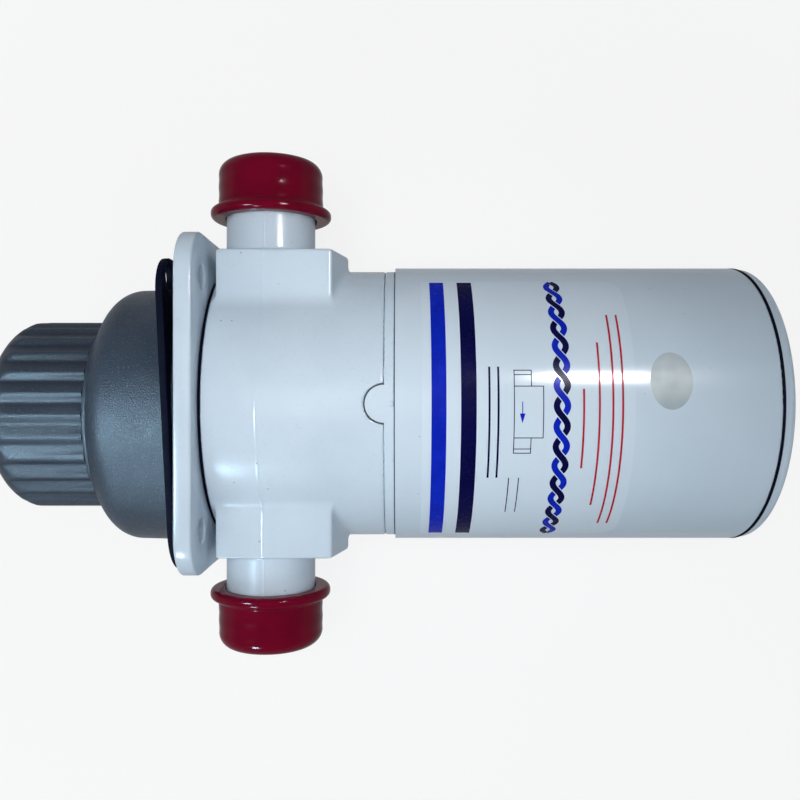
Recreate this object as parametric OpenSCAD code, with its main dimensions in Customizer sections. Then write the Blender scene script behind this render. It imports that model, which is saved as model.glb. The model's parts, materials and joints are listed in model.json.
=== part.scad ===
// Macerator toilet pump: a motor that turns a rinse-water pump and a waste macerator on one shaft.
// X runs along the motor axis towards the motor, Y towards the inlet port, Z towards the label side.
// The origin is on the motor axis, at the mounting face of the square flange. Sizes are in millimetres.

/* [Mounting flange] */
// Width and height of the square flange
flange_w = 94.4; // [90:0.2:110]
// Thickness of the flange plate
flange_t = 4.8; // [4:0.1:8]
// Corner radius of the flange
flange_corner = 12.2; // [6:0.2:16]
// Distance between the mounting bolts, both ways
bolt_spacing = 70; // [68:0.5:76]
// Radius of each mounting bolt hole
bolt_hole_r = 3.3; // [2.5:0.1:4]

/* [Gasket] */
// Width of the loose flange gasket outside the housing, at its narrowest
gasket_rim = 3; // [2:0.1:5]
// Width of the gasket outside its bolt holes, at its narrowest
gasket_edge = 4.4; // [2:0.1:6]
// Thickness of the gasket
gasket_t = 2; // [1:0.1:3]
// Corner radius of the gasket
gasket_corner = 11; // [6:0.2:14]
// How far the gasket hangs below the flange centre
gasket_drop = 2.6; // [1:0.1:3]
// Lean of the loose gasket away from the flange, in degrees
gasket_lean = 2.9; // [0:0.1:4]
// Spare radius of the gasket's bolt holes
gasket_hole_spare = 0.5; // [0.2:0.1:1]

/* [Macerator housing] */
// Drop of the wet end's axis below the motor axis
wet_drop = 3.5; // [2:0.1:4]
// Outer radius of the housing at the flange
housing_r = 39.6; // [38:0.1:40]
// Length of the housing from the flange to the collar
housing_len = 29; // [28:0.5:38]
// Draft of the housing wall, in degrees
housing_draft = 1.5; // [0.5:0.1:3]
// Wall of the housing
housing_wall = 3.5; // [3:0.1:4]
// Radius of the housing's rounded shoulder
shoulder_r = 9; // [5:0.5:9]
// Radius of the discharge window
window_r = 8; // [6:0.5:9]

/* [Intake collar] */
// Outer radius over the flutes of the collar
collar_r = 29.3; // [29:0.1:31]
// Length of the collar
collar_len = 33; // [32:0.2:42]
// Number of flutes round the collar
flute_count = 28; // [16:1:36]
// Depth of each flute
flute_depth = 1.4; // [0.5:0.1:1.6]
// Width of the plain ring between the flutes and the housing
collar_ring_w = 1.8; // [1:0.1:3]
// How far the plain ring stands out from the flutes
collar_ring_rise = 0.7; // [0.3:0.1:1.5]
// Radius of the collar's rounded end
collar_round = 12; // [8:0.5:13]
// Inner radius of the collar
collar_bore_r = 22; // [21.6:0.1:23]
// Radius of the waste inlet mouth
mouth_r = 14; // [11:0.5:15]

/* [Macerator] */
// Thickness of the fixed cutter plate
plate_t = 2.5; // [1.5:0.1:3]
// Number of holes through the cutter plate
plate_holes = 8; // [5:1:9]
// Radius of each hole through the cutter plate
plate_hole_r = 3.6; // [2.5:0.1:4]
// Tip radius of the rotating knife
knife_r = 17.5; // [13:0.1:17.5]
// Thickness of the knife
knife_t = 3; // [2:0.1:4]
// Number of knife blades
knife_blades = 4; // [2:1:5]
// Tip radius of the waste impeller
waste_impeller_r = 29; // [24:0.2:29.5]
// Number of waste impeller vanes
waste_vanes = 5; // [3:1:7]
// Thickness of each waste impeller vane
waste_vane_t = 2.6; // [2:0.1:4]

/* [Pump body] */
// Outer radius of the pump body
body_r = 41.4; // [40:0.1:45]
// Length of the pump body
body_len = 49.4; // [47:0.2:56]
// Thickness of the seal between the flange and the pump body
body_seal_t = 0.8; // [0.5:0.1:2]
// Radius of the rinse pump chamber
chamber_r = 24.5; // [24:0.1:26]
// Length of the rinse pump chamber
chamber_len = 19.4; // [19.2:0.1:20.4]
// Rise of the cam into the chamber
cam_rise = 3.8; // [2:0.1:5]
// Half-width of the cam
cam_half_w = 5.6; // [3:0.1:6]
// Thickness of the wear plate
wear_plate_t = 1.2; // [0.8:0.1:1.6]
// Radius of the semicircular locating tab
tab_r = 5.1; // [3:0.1:6]

/* [Ports] */
// Distance of the port axes behind the pump body's front face
port_x = 14.9; // [14.6:0.1:16]
// Offset of the port axes from the motor axis, towards the label side
port_z = 14; // [13:0.1:14.6]
// Outer radius of each port spigot
port_r = 13.22; // [12:0.02:14]
// Radius of each spigot's bore
port_bore_r = 9.5; // [8.5:0.1:10.5]
// Depth of each spigot's bore
port_bore_len = 29; // [20:0.5:30]
// Radius of each waterway from the spigot's bore to the chamber
waterway_r = 8; // [6:0.1:9]
// Distance from the motor axis to the end of each spigot
port_reach = 70; // [66:0.5:90]
// Distance from the motor axis to the flat end of each port block
block_reach = 43.9; // [42:0.1:50]
// Half-height of each port block
block_half = 15.75; // [14.5:0.05:17]
// Length of each port block in front of the port axis
block_front = 13.3; // [13:0.1:14.5]
// Length of each port block behind the port axis
block_rear = 23.2; // [18:0.1:28]
// How much the rear of each port block tapers
block_taper = 3.7; // [1:0.1:6]

/* [Port caps] */
// Wall of each push-on cap
cap_wall = 2; // [1.5:0.1:3]
// Outer length of each cap
cap_len = 17.4; // [15:0.1:26]
// Radius of the rolled rim's bead
cap_bead_r = 1.4; // [0.8:0.1:2]
// How far the rolled rim stands out from the cap
cap_rim = 2.4; // [1.4:0.1:3]
// Radius of the cap's rounded end
cap_round = 4; // [2:0.1:6]

/* [Motor] */
// How far the motor cover stands out from the pump body
cover_step = 1.1; // [0.6:0.1:2]
// Length of the motor cover
cover_len = 104; // [96:0.2:150]
// Wall of the motor cover
cover_wall = 2; // [1.6:0.1:2.4]
// Width of the end bell ring that shows between body and cover
ring_w = 3; // [2:0.1:6]
// Length of the end cap behind the cover
end_cap_len = 3.7; // [3:0.1:8]
// Radius of the end cap's rounded edge
end_cap_round = 1.6; // [0.6:0.1:2.5]
// Wall of the steel motor can
can_wall = 2; // [1.5:0.1:2.5]
// Air gap between the armature and the magnets
air_gap = 0.8; // [0.4:0.1:1.2]
// Thickness of the magnets
magnet_t = 3.8; // [3:0.1:4.2]
// Arc of each magnet, in degrees
magnet_arc = 130; // [100:1:140]
// Number of armature slots
armature_slots = 12; // [8:1:14]
// Radius of the commutator
commutator_r = 12; // [10:0.1:13]
// Radius of the lead hole in the rubber grommet
lead_hole_r = 3; // [2:0.1:3.5]

/* [Shaft] */
// Radius of the shaft
shaft_r = 4; // [3.5:0.1:4.4]
// Radius of the bearings and shaft seals
bearing_r = 11; // [10:0.1:12]
// Width of the bearings and shaft seals
bearing_w = 7; // [6:0.1:7.4]
// Radius of the shaft's threaded end
stud_r = 3; // [2.5:0.1:3.2]

/* [Fits] */
// Radial clearance of a turning fit
running_fit = 0.05; // [0.02:0.01:0.09]
// Radial clearance of a fixed seat
seat_fit = 0.1; // [0.05:0.01:0.2]
// Radial clearance under each push-on cap
cap_fit = 0.3; // [0.25:0.01:0.5]

/* [Hidden] */
$fn = 96;

// Colours
white_paint = [0.86, 0.90, 0.93];
grey_plastic = [0.36, 0.41, 0.46];
black_rubber = [0.05, 0.05, 0.07];
red_vinyl = [0.50, 0.03, 0.12];
steel = [0.72, 0.73, 0.75];
dark_steel = [0.35, 0.36, 0.38];
copper = [0.72, 0.42, 0.24];
brass = [0.78, 0.65, 0.32];
ferrite = [0.22, 0.22, 0.23];
fibre_board = [0.55, 0.38, 0.22];
carbon = [0.14, 0.14, 0.15];

// Overcut that carries a cut clear of the face it opens
cut = 1;
// Rounding of the turned outer edges
edge_round = 0.5;

// Gasket, wide enough to go round the housing and the mounting bolts
gasket_bore_spare = 0.6;
gasket_hole_r = bolt_hole_r + gasket_hole_spare;
gasket_over_housing = housing_r + gasket_bore_spare + gasket_rim;
gasket_over_bolts = bolt_spacing / 2 + gasket_hole_r + gasket_edge;
gasket_w = 2 * max(gasket_over_housing, gasket_over_bolts);

// Stations along the motor axis, from the flange's mounting face
x_body = flange_t + body_seal_t;
x_ring = x_body + body_len;
x_cover = x_ring + ring_w;
x_rim = x_cover + cover_len;
x_end = x_rim + end_cap_len;

// Rinse pump chamber, centred on the ports
x_port = x_body + port_x;
x_chamber = x_port - chamber_len / 2;
x_chamber_end = x_port + chamber_len / 2;
x_wear_plate = x_chamber - wear_plate_t;
register_step = 3;
register_r = chamber_r + register_step;
shaft_clearance = 0.6;
shaft_clear_r = shaft_r + shaft_clearance;
impeller_side_gap = 0.2;
impeller_len = chamber_len - 2 * impeller_side_gap;
impeller_tip_r = chamber_r - impeller_side_gap;
impeller_insert_r = 6.5;
impeller_pin_r = 1.5;

// Shaft seals, slinger and weep hole
seal_shoulder = 1.6;
x_waste_seal = x_wear_plate - seal_shoulder - bearing_w;
seal_wall = 6;
x_rinse_seal = x_chamber_end + seal_wall;
x_rinse_seal_end = x_rinse_seal + bearing_w;
slinger_gap = 3;
slinger_r = 9;
slinger_t = 3;
slinger_clearance = 1;
slinger_room_r = 19;
x_slinger = x_rinse_seal_end + slinger_gap;
weep_r = 1.5;

// Front end bell and the pump body's rear register
bell_register_wall = 5.4;
bell_register_r = body_r - bell_register_wall;
bell_register_len = 3;
tab_floor = 1;
tab_floor_z = bell_register_r + tab_floor;
cover_register_len = 4;
x_can = x_cover + cover_register_len;
bearing_shoulder = 0.5;
clip_room = 1.2;
x_front_bearing = x_cover + bearing_shoulder;
x_front_hub_end = x_front_bearing + bearing_w + clip_room;

// Motor cover, can and what they hold
cover_r = body_r + cover_step;
cover_bore_r = cover_r - cover_wall;
can_gap = 2;
can_r = cover_bore_r - can_gap;
can_bore_r = can_r - can_wall;
can_register_len = 3.4;
lead_room = 16;
x_can_end = x_rim - lead_room;
rear_bell_t = 4;
rear_hub_wall = 4;
x_rear_face = x_can_end + rear_bell_t;
brush_plate_setback = 9;
brush_plate_t = 2;
x_brush_plate = x_can_end - brush_plate_setback;
commutator_gap = 2;
commutator_len = 14;
x_commutator_end = x_brush_plate - commutator_gap;
x_commutator = x_commutator_end - commutator_len;
winding_end = 6;
winding_gap = 1.5;
x_core_end = x_commutator - winding_gap - winding_end;
x_core = x_front_hub_end + winding_gap + winding_end;
magnet_r = can_bore_r - seat_fit;
armature_r = magnet_r - magnet_t - air_gap;
tooth_tip_t = 1.3;
slot_root_r = 14;
slot_tip_r = armature_r - tooth_tip_t;
slot_w = 4.6;
slot_mouth_w = 1.6;

// Through bolts that hold the motor together
through_bolt_angles = [0, 180];
through_bolt_r = 1.5;
through_bolt_inset = 2.5;
through_bolt_circle_r = can_bore_r - through_bolt_inset;
bolt_hole_wall = 1;
x_bolt_hole = x_cover + bolt_hole_wall;
bolt_end_gap = 0.5;

// Rear bearing and the shaft's end
x_rear_bearing = x_can_end - bearing_shoulder;
shaft_end_spare = 1.5;
x_shaft_end = x_rear_bearing + bearing_w + shaft_end_spare;

// Brushes: length along the motor axis, width across it, and their boxes
brush_l = 7.8;
brush_w = 6;
brush_len = 12;
brush_inset = 0.6;
x_brush = x_commutator_end - brush_l - brush_inset;
box_wall = 1.2;
box_len = 17;
box_gap = 1.5;
box_start = commutator_r + box_gap;

// Lead grommet in the end cap
grommet_r = 6;
grommet_inset = 14.5;
grommet_z = grommet_inset - can_r;
grommet_lip = 1.5;
end_cap_face_t = 2.4;

// Wet end, to the left of the mounting face
x_collar = -housing_len;
x_mouth = x_collar - collar_len;
front_wall = 5;
draft_allowance = 0.8;
room_r = housing_r - housing_wall - draft_allowance;
room_len = housing_len - front_wall;
spigot_len = 4;
spigot_r = 25.4;
eye_r = 22.5;
x_plate = x_collar - spigot_len - plate_t;
plate_knife_gap = 0.5;
x_knife = x_plate - plate_knife_gap - knife_t;
nut_t = 5;
nut_r = 6.4;
stud_spare = 1.5;
x_stud_end = x_knife - nut_t - stud_spare;
spacer_r = 6;
spacer_clearance = 0.6;
disc_t = 3;
x_impeller_back = -5;
x_impeller_hub = -1.5;
eye_gap = 6;
nose_len = 4;
x_impeller_front = eye_gap - room_len;
x_impeller_nose = x_impeller_front - nose_len;
impeller_hub_r = 9;

// Screws that hold the flange, pump body and end bell together
body_screw_r = 2.5;
body_screw_head_r = 4.6;
body_screw_circle_r = (register_r + body_r) / 2;
body_screw_angles = [60, 120, 240, 300];
screw_tip_wall = 1.2;
screw_tip_gap = 0.4;
x_body_screw_end = x_can - screw_tip_wall;

// Screws that hold the housing to the flange
housing_screw_r = 1.5;
housing_screw_head_r = 3;
housing_screw_angles = [20, 160, 200, 340];
housing_screw_depth = 9;
housing_screw_circle_r = (room_r + housing_r) / 2;

// Places a shape drawn with its axis on Z along X instead: local x, y, z become Y, Z, X
module axial(x = 0)
  translate([x, 0, 0])
    rotate([90, 0, 90])
      children();

// Places a shape on the wet end's axis, which is lower than the motor axis
module wet_axial(x = 0)
  translate([0, -wet_drop, 0])
    axial(x)
      children();

// Places a shape drawn with its axis on Z along the upper port's axis
module on_port(y)
  translate([x_port, y, port_z])
    rotate([-90, 0, 0])
      children();

// Copies a shape to the lower port as well
module both_ports() {
  children();
  mirror([0, 1, 0])
    children();
}

// Solid round bar along the motor axis
module bar(x_from, x_to, r)
  axial(x_from)
    cylinder(h = x_to - x_from, r = r);

// Solid round bar along the wet end's axis
module wet_bar(x_from, x_to, r)
  wet_axial(x_from)
    cylinder(h = x_to - x_from, r = r);

// Copies a shape to points on a circle about the motor axis
module around(angles, r)
  for (a = angles)
    translate([0, r * cos(a), r * sin(a)])
      children();

// Square with rounded corners
module rounded_square(w, corner) {
  square([w, w - 2 * corner], center = true);
  square([w - 2 * corner, w], center = true);
  for (sy = [-1, 1], sz = [-1, 1])
    translate([sy * (w / 2 - corner), sz * (w / 2 - corner)])
      circle(r = corner);
}

// Half-section from the axis out to r and up to h, with its outer top corner rounded
module round_topped(r, h, round) {
  square([r, h - round]);
  square([r - round, h]);
  translate([r - round, h - round])
    intersection() {
      circle(r = round);
      square(round);
    }
}

// Solid round bar along the motor axis with both outer edges rounded
module rounded_bar(x_from, x_to, r, round) {
  length = x_to - x_from;
  axial(x_from)
    rotate_extrude() {
      square([r - round, length]);
      translate([0, round])
        square([r, length - 2 * round]);
      for (y = [round, length - round])
        translate([r - round, y])
          intersection() {
            circle(r = round);
            translate([0, -round])
              square([round, 2 * round]);
          }
    }
}

// Four bars at the mounting bolts' places
module bolt_bars(x_from, x_to, r)
  for (sy = [-1, 1], sz = [-1, 1])
    translate([0, sy * bolt_spacing / 2, sz * bolt_spacing / 2])
      bar(x_from, x_to, r);

// Countersunk screw lying along X, its head's flat face at X = 0 and its point towards +X
module countersunk(length, r, head_r) {
  axial()
    cylinder(h = head_r - r, r1 = head_r, r2 = r);
  bar(0, length, r);
}

// Ball bearing as a ring with recessed shields
module bearing(x) {
  race_t = 2;
  shield_depth = 0.5;
  axial(x)
    rotate_extrude()
      difference() {
        translate([shaft_r + running_fit, 0])
          square([bearing_r - shaft_r - running_fit, bearing_w]);
        for (y = [0, bearing_w])
          translate([shaft_r + race_t, y - shield_depth])
            square([bearing_r - shaft_r - 2 * race_t, 2 * shield_depth]);
      }
}

// Shaft seal with a hollow lip, its open side towards +X
module shaft_seal(x) {
  lip_t = 1.5;
  web_t = 2;
  case_t = 2;
  axial(x)
    rotate_extrude()
      difference() {
        translate([shaft_r + running_fit, 0])
          square([bearing_r - shaft_r - running_fit, bearing_w]);
        translate([shaft_r + lip_t, web_t])
          square([bearing_r - shaft_r - lip_t - case_t, bearing_w]);
      }
}

// Outline of the flutes: each one falls from a ridge to a valley and rises past a knee to the next ridge
module flute_outline() {
  pitch = 360 / flute_count;
  valley_at = 0.36;
  knee_at = 0.74;
  knee_share = 0.45;
  flute = [[0, 0], [valley_at, flute_depth], [knee_at, flute_depth * knee_share]];
  polygon([
    for (i = [0 : flute_count - 1])
      for (p = flute)
        (collar_r - p[1]) * [cos((i + p[0]) * pitch), sin((i + p[0]) * pitch)]
  ]);
}

module intake_collar() {
  cone_len = collar_bore_r - mouth_r;
  lip_len = 4;
  ridge_spare = 0.4;
  color(grey_plastic)
    difference() {
      union() {
        intersection() {
          wet_axial(x_collar)
            mirror([0, 0, 1])
              rotate_extrude()
                round_topped(collar_r + ridge_spare, collar_len, collar_round);
          wet_axial(x_mouth)
            linear_extrude(collar_len)
              flute_outline();
        }
        wet_axial(x_collar)
          mirror([0, 0, 1])
            rotate_extrude()
              round_topped(collar_r + collar_ring_rise, collar_ring_w, collar_ring_rise);
      }
      wet_bar(x_mouth - cut, x_mouth + lip_len + cut, mouth_r);
      wet_axial(x_mouth + lip_len)
        cylinder(h = cone_len, r1 = mouth_r, r2 = collar_bore_r);
      wet_bar(x_mouth + lip_len + cone_len, x_collar + cut, collar_bore_r);
      wet_bar(x_plate, x_collar + cut, spigot_r + seat_fit);
    }
}

module cutter_plate() {
  hole_circle_r = (spacer_r + collar_bore_r - wet_drop) / 2;
  color(steel)
    difference() {
      wet_bar(x_plate, x_plate + plate_t, spigot_r);
      bar(x_plate - cut, x_plate + plate_t + cut, spacer_r + spacer_clearance);
      around([for (i = [0 : plate_holes - 1]) i * 360 / plate_holes], hole_circle_r)
        bar(x_plate - cut, x_plate + plate_t + cut, plate_hole_r);
    }
}

// Outside of the housing, drawn as radius and distance in front of the mounting face
module housing_profile() {
  shoulder_x = housing_len - shoulder_r;
  shoulder_out_r = housing_r - shoulder_x * tan(housing_draft);
  polygon([[0, 0], [housing_r, 0], [shoulder_out_r, shoulder_x], [0, shoulder_x]]);
  translate([0, shoulder_x - cut])
    round_topped(shoulder_out_r, shoulder_r + cut, shoulder_r);
}

module macerator_housing() {
  color(grey_plastic)
    difference() {
      union() {
        wet_axial()
          mirror([0, 0, 1])
            rotate_extrude()
              housing_profile();
        wet_bar(x_collar - spigot_len, x_collar + cut, spigot_r);
      }
      wet_bar(-room_len, cut, room_r);
      wet_bar(x_collar - spigot_len - cut, -room_len + cut, eye_r);
      translate([-room_len / 2, -wet_drop, -housing_r - cut])
        cylinder(h = housing_r, r = window_r);
      housing_screw_holes(housing_screw_r + seat_fit);
    }
}

// Bars at the places of the housing screws
module housing_screw_holes(r)
  translate([0, -wet_drop, 0])
    around(housing_screw_angles, housing_screw_circle_r)
      bar(-housing_screw_depth - cut, flange_t + cut, r);

module housing_screws() {
  color(steel)
    translate([0, -wet_drop, 0])
      around(housing_screw_angles, housing_screw_circle_r)
        translate([flange_t, 0, 0])
          mirror([1, 0, 0])
            countersunk(housing_screw_depth + flange_t, housing_screw_r, housing_screw_head_r);
}

module flange_gasket() {
  gasket_y = -gasket_drop;
  hinge_y = gasket_y - gasket_w / 2;
  color(black_rubber)
    translate([0, hinge_y, 0])
      rotate([0, 0, gasket_lean])
        translate([0, -hinge_y, 0])
          difference() {
            axial(-gasket_t)
              translate([gasket_y, 0])
                linear_extrude(gasket_t)
                  rounded_square(gasket_w, gasket_corner);
            wet_bar(-gasket_t - cut, cut, housing_r + gasket_bore_spare);
            bolt_bars(-gasket_t - cut, cut, gasket_hole_r);
          }
}

module mounting_flange()
  color(white_paint)
    difference() {
      union() {
        axial()
          linear_extrude(flange_t)
            rounded_square(flange_w, flange_corner);
        bar(0, x_wear_plate, register_r);
      }
      bar(-cut, x_waste_seal + bearing_w, bearing_r + seat_fit);
      bar(-cut, x_wear_plate + cut, shaft_clear_r);
      bolt_bars(-cut, flange_t + cut, bolt_hole_r);
      around(body_screw_angles, body_screw_circle_r)
        countersunk(flange_t + cut, body_screw_r + seat_fit, body_screw_head_r + seat_fit);
      translate([0, -wet_drop, 0])
        around(housing_screw_angles, housing_screw_circle_r)
          translate([flange_t, 0, 0])
            mirror([1, 0, 0])
              countersunk(flange_t + cut, housing_screw_r + seat_fit, housing_screw_head_r + seat_fit);
    }

module waste_shaft_seal()
  color(black_rubber)
    shaft_seal(x_waste_seal);

module body_seal() {
  inset = 0.7;
  color(black_rubber)
    difference() {
      bar(flange_t, x_body, body_r - inset);
      bar(flange_t - cut, x_body + cut, register_r + seat_fit);
      around(body_screw_angles, body_screw_circle_r)
        bar(flange_t - cut, x_body + cut, body_screw_r + seat_fit);
    }
}

module body_screws()
  color(steel)
    around(body_screw_angles, body_screw_circle_r)
      countersunk(x_body_screw_end, body_screw_r, body_screw_head_r);

module wear_plate()
  color(steel)
    difference() {
      bar(x_wear_plate, x_chamber, register_r - seat_fit);
      bar(x_wear_plate - cut, x_chamber + cut, shaft_clear_r);
    }

// Port block seen along Y, drawn from the port axis in X and Z
module block_outline() {
  flat = 1.5;
  polygon([
    [-block_front, -block_half],
    [block_rear - block_taper, -block_half],
    [block_rear, -flat],
    [block_rear, flat],
    [block_rear - block_taper, block_half],
    [-block_front, block_half]
  ]);
}

// Section of the chamber: a circle with the cam standing in from the label side
module chamber_outline()
  difference() {
    circle(r = chamber_r);
    polygon([
      [-cam_half_w - cam_rise / 2, chamber_r + cut],
      [-cam_half_w, chamber_r - cam_rise],
      [cam_half_w, chamber_r - cam_rise],
      [cam_half_w + cam_rise / 2, chamber_r + cut]
    ]);
  }

module pump_body() {
  waterway_start = sqrt(chamber_r * chamber_r - pow(port_z + waterway_r, 2));
  color(white_paint)
    difference() {
      union() {
        rounded_bar(x_body, x_ring, body_r, edge_round);
        both_ports() {
          on_port(0)
            linear_extrude(block_reach)
              mirror([0, 1, 0])
                block_outline();
          on_port(block_reach - cut)
            cylinder(h = port_reach - block_reach + cut, r = port_r);
        }
      }
      axial(x_chamber)
        linear_extrude(chamber_len)
          chamber_outline();
      both_ports() {
        on_port(waterway_start)
          cylinder(h = port_reach - waterway_start, r = waterway_r);
        on_port(port_reach - port_bore_len)
          cylinder(h = port_bore_len + cut, r = port_bore_r);
      }
      bar(x_body - cut, x_chamber, register_r + seat_fit);
      bar(x_chamber, x_ring, shaft_clear_r);
      bar(x_rinse_seal, x_ring, bearing_r + seat_fit);
      bar(x_rinse_seal_end, x_ring + cut, slinger_room_r);
      bar(x_ring - bell_register_len, x_ring + cut, bell_register_r + seat_fit);
      translate([(x_rinse_seal_end + x_ring - bell_register_len) / 2, 0, -body_r - cut])
        cylinder(h = body_r, r = weep_r);
      around(body_screw_angles, body_screw_circle_r)
        bar(x_body - cut, x_ring + cut, body_screw_r + seat_fit);
      translate([x_ring, 0, tab_floor_z])
        cylinder(h = body_r, r = tab_r + 2 * seat_fit);
    }
}

module rinse_shaft_seal()
  color(black_rubber)
    shaft_seal(x_rinse_seal);

module end_bell()
  color(white_paint)
    difference() {
      union() {
        bar(x_ring - bell_register_len, x_cover, bell_register_r);
        rounded_bar(x_ring, x_cover, body_r, edge_round);
        bar(x_cover, x_can, cover_bore_r - seat_fit);
        bar(x_cover, x_can + can_register_len, can_bore_r - seat_fit);
        intersection() {
          bar(x_ring - tab_r - cut, x_ring + cut, body_r);
          translate([x_ring, 0, tab_floor_z + seat_fit])
            cylinder(h = body_r, r = tab_r);
        }
      }
      bar(x_ring - bell_register_len - cut, x_front_bearing + cut, slinger_r + slinger_clearance);
      bar(x_front_bearing, x_can + can_register_len + cut, bearing_r + seat_fit / 2);
      around(body_screw_angles, body_screw_circle_r)
        bar(x_ring - bell_register_len - cut, x_body_screw_end + screw_tip_gap, body_screw_r + seat_fit);
      around(through_bolt_angles, through_bolt_circle_r)
        bar(x_bolt_hole, x_can + can_register_len + cut, through_bolt_r + seat_fit);
    }

module front_bearing()
  color(steel)
    bearing(x_front_bearing);

module motor_can()
  color(dark_steel)
    difference() {
      bar(x_can, x_can_end, can_r);
      bar(x_can - cut, x_can_end + cut, can_bore_r);
    }

module magnets() {
  side_angle = (180 - magnet_arc) / 2;
  overhang = 2;
  color(ferrite)
    for (turn = [0, 180])
      axial(x_core - overhang)
        rotate([0, 0, turn + side_angle])
          rotate_extrude(angle = magnet_arc)
            translate([magnet_r - magnet_t, 0])
              square([magnet_t, x_core_end - x_core + 2 * overhang]);
}

// Copies a shape drawn on the +Z side to the -Z side as well
module both_brushes()
  for (turn = [0, 180])
    rotate([turn, 0, 0])
      children();

module brush_plate() {
  commutator_room = 2;
  color(fibre_board)
    difference() {
      bar(x_brush_plate, x_brush_plate + brush_plate_t, can_bore_r - seat_fit);
      bar(x_brush_plate - cut, x_brush_plate + brush_plate_t + cut, commutator_r + commutator_room);
      around(through_bolt_angles, through_bolt_circle_r)
        bar(x_brush_plate - cut, x_brush_plate + brush_plate_t + cut, through_bolt_r + seat_fit);
    }
}

module brush_boxes()
  color(brass)
    both_brushes()
      difference() {
        translate([x_brush - box_wall, -brush_w / 2 - box_wall, box_start])
          cube([x_brush_plate - x_brush + box_wall, brush_w + 2 * box_wall, box_len]);
        translate([x_brush - seat_fit, -brush_w / 2 - seat_fit, box_start - cut])
          cube([brush_l + 2 * seat_fit, brush_w + 2 * seat_fit, box_len - box_wall + cut]);
      }

module brushes()
  color(carbon)
    both_brushes()
      difference() {
        translate([x_brush, -brush_w / 2, 0])
          cube([brush_l, brush_w, commutator_r + brush_len]);
        bar(x_brush - cut, x_brush + brush_l + cut, commutator_r + running_fit);
      }

module brush_springs() {
  spring_r = 2.4;
  spring_wire = 0.8;
  spring_from = commutator_r + brush_len;
  spring_to = box_start + box_len - box_wall;
  color(steel)
    both_brushes()
      translate([x_brush + brush_l / 2, 0, spring_from])
        difference() {
          cylinder(h = spring_to - spring_from, r = spring_r);
          translate([0, 0, -cut])
            cylinder(h = spring_to, r = spring_r - spring_wire);
        }
}

module rear_end_bell() {
  register_wall = 5;
  shaft_end_gap = 1;
  hub_end_t = 1.5;
  color(dark_steel)
    difference() {
      union() {
        bar(x_can_end, x_rear_face, can_r);
        bar(x_brush_plate + brush_plate_t, x_can_end, can_bore_r - seat_fit);
        bar(x_can_end, x_shaft_end + shaft_end_gap + hub_end_t, bearing_r + rear_hub_wall);
      }
      bar(x_brush_plate, x_can_end, can_bore_r - register_wall);
      bar(x_can_end - cut, x_rear_bearing + bearing_w, bearing_r + seat_fit / 2);
      bar(x_can_end - cut, x_shaft_end + shaft_end_gap, shaft_clear_r);
      around(through_bolt_angles, through_bolt_circle_r)
        bar(x_brush_plate, x_rear_face + cut, through_bolt_r + seat_fit);
    }
}

module rear_bearing()
  color(steel)
    bearing(x_rear_bearing);

module through_bolts() {
  head_t = 2;
  head_r = 2.6;
  color(steel)
    around(through_bolt_angles, through_bolt_circle_r) {
      bar(x_bolt_hole + bolt_end_gap, x_rear_face, through_bolt_r);
      bar(x_rear_face, x_rear_face + head_t, head_r);
    }
}

// Motor cover: a tube whose rear edge is rounded
module motor_cover() {
  edge_r = 1;
  color(white_paint)
    axial(x_cover)
      rotate_extrude()
        difference() {
          round_topped(cover_r, cover_len, edge_r);
          translate([0, -cut])
            square([cover_bore_r, cover_len + 2 * cut]);
        }
}

// End cap: a plug inside the cover, and a rounded rim that carries the cover's line on
module cover_end_cap() {
  rim_step = 0.4;
  skirt_seat = 1.1;
  color(white_paint)
    difference() {
      union() {
        axial(x_rim)
          rotate_extrude()
            round_topped(cover_r - rim_step, end_cap_len, end_cap_round);
        bar(x_rear_face, x_rim, cover_bore_r - seat_fit);
      }
      bar(x_rear_face - cut, x_end - end_cap_face_t, can_r - skirt_seat);
      translate([0, 0, grommet_z])
        bar(x_rim - cut, x_end + cut, grommet_r);
    }
}

module cable_grommet() {
  bead = 1.6;
  x_inside = x_end - end_cap_face_t;
  color(black_rubber)
    translate([0, 0, grommet_z])
      difference() {
        union() {
          bar(x_inside - bead, x_inside, grommet_r + grommet_lip);
          bar(x_inside, x_end, grommet_r - seat_fit);
          bar(x_end, x_end + bead, grommet_r + grommet_lip);
        }
        bar(x_inside - bead - cut, x_end + bead + cut, lead_hole_r);
      }
}

module shaft()
  color(steel)
    difference() {
      union() {
        bar(x_knife + knife_t, x_shaft_end, shaft_r);
        bar(x_stud_end, x_knife + knife_t, stud_r);
      }
      translate([x_port, -shaft_r - cut, 0])
        rotate([-90, 0, 0])
          cylinder(h = 2 * (shaft_r + cut), r = impeller_pin_r);
    }

module knife_nut()
  color(steel)
    difference() {
      axial(x_knife - nut_t)
        cylinder(h = nut_t, r = nut_r, $fn = 6);
      bar(x_knife - nut_t - cut, x_knife + cut, stud_r + running_fit);
    }

// One blade of the knife, swept back from the hub to its tip
module knife_blade() {
  root_w = 5;
  tip_w = 2.4;
  sweep = 22;
  polygon([
    [0, -root_w],
    [knife_r * cos(sweep), knife_r * sin(sweep) - tip_w],
    [knife_r * cos(sweep), knife_r * sin(sweep)],
    [0, root_w]
  ]);
}

module macerator_knife() {
  hub_r = 7.5;
  color(steel)
    difference() {
      axial(x_knife)
        linear_extrude(knife_t) {
          circle(r = hub_r);
          intersection() {
            circle(r = knife_r);
            for (i = [0 : knife_blades - 1])
              rotate(i * 360 / knife_blades)
                knife_blade();
          }
        }
      bar(x_knife - cut, x_knife + knife_t + cut, stud_r + running_fit);
    }
}

module knife_spacer()
  color(steel)
    difference() {
      bar(x_knife + knife_t, x_impeller_nose, spacer_r);
      bar(x_knife, x_impeller_nose + cut, shaft_r + running_fit);
    }

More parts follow.
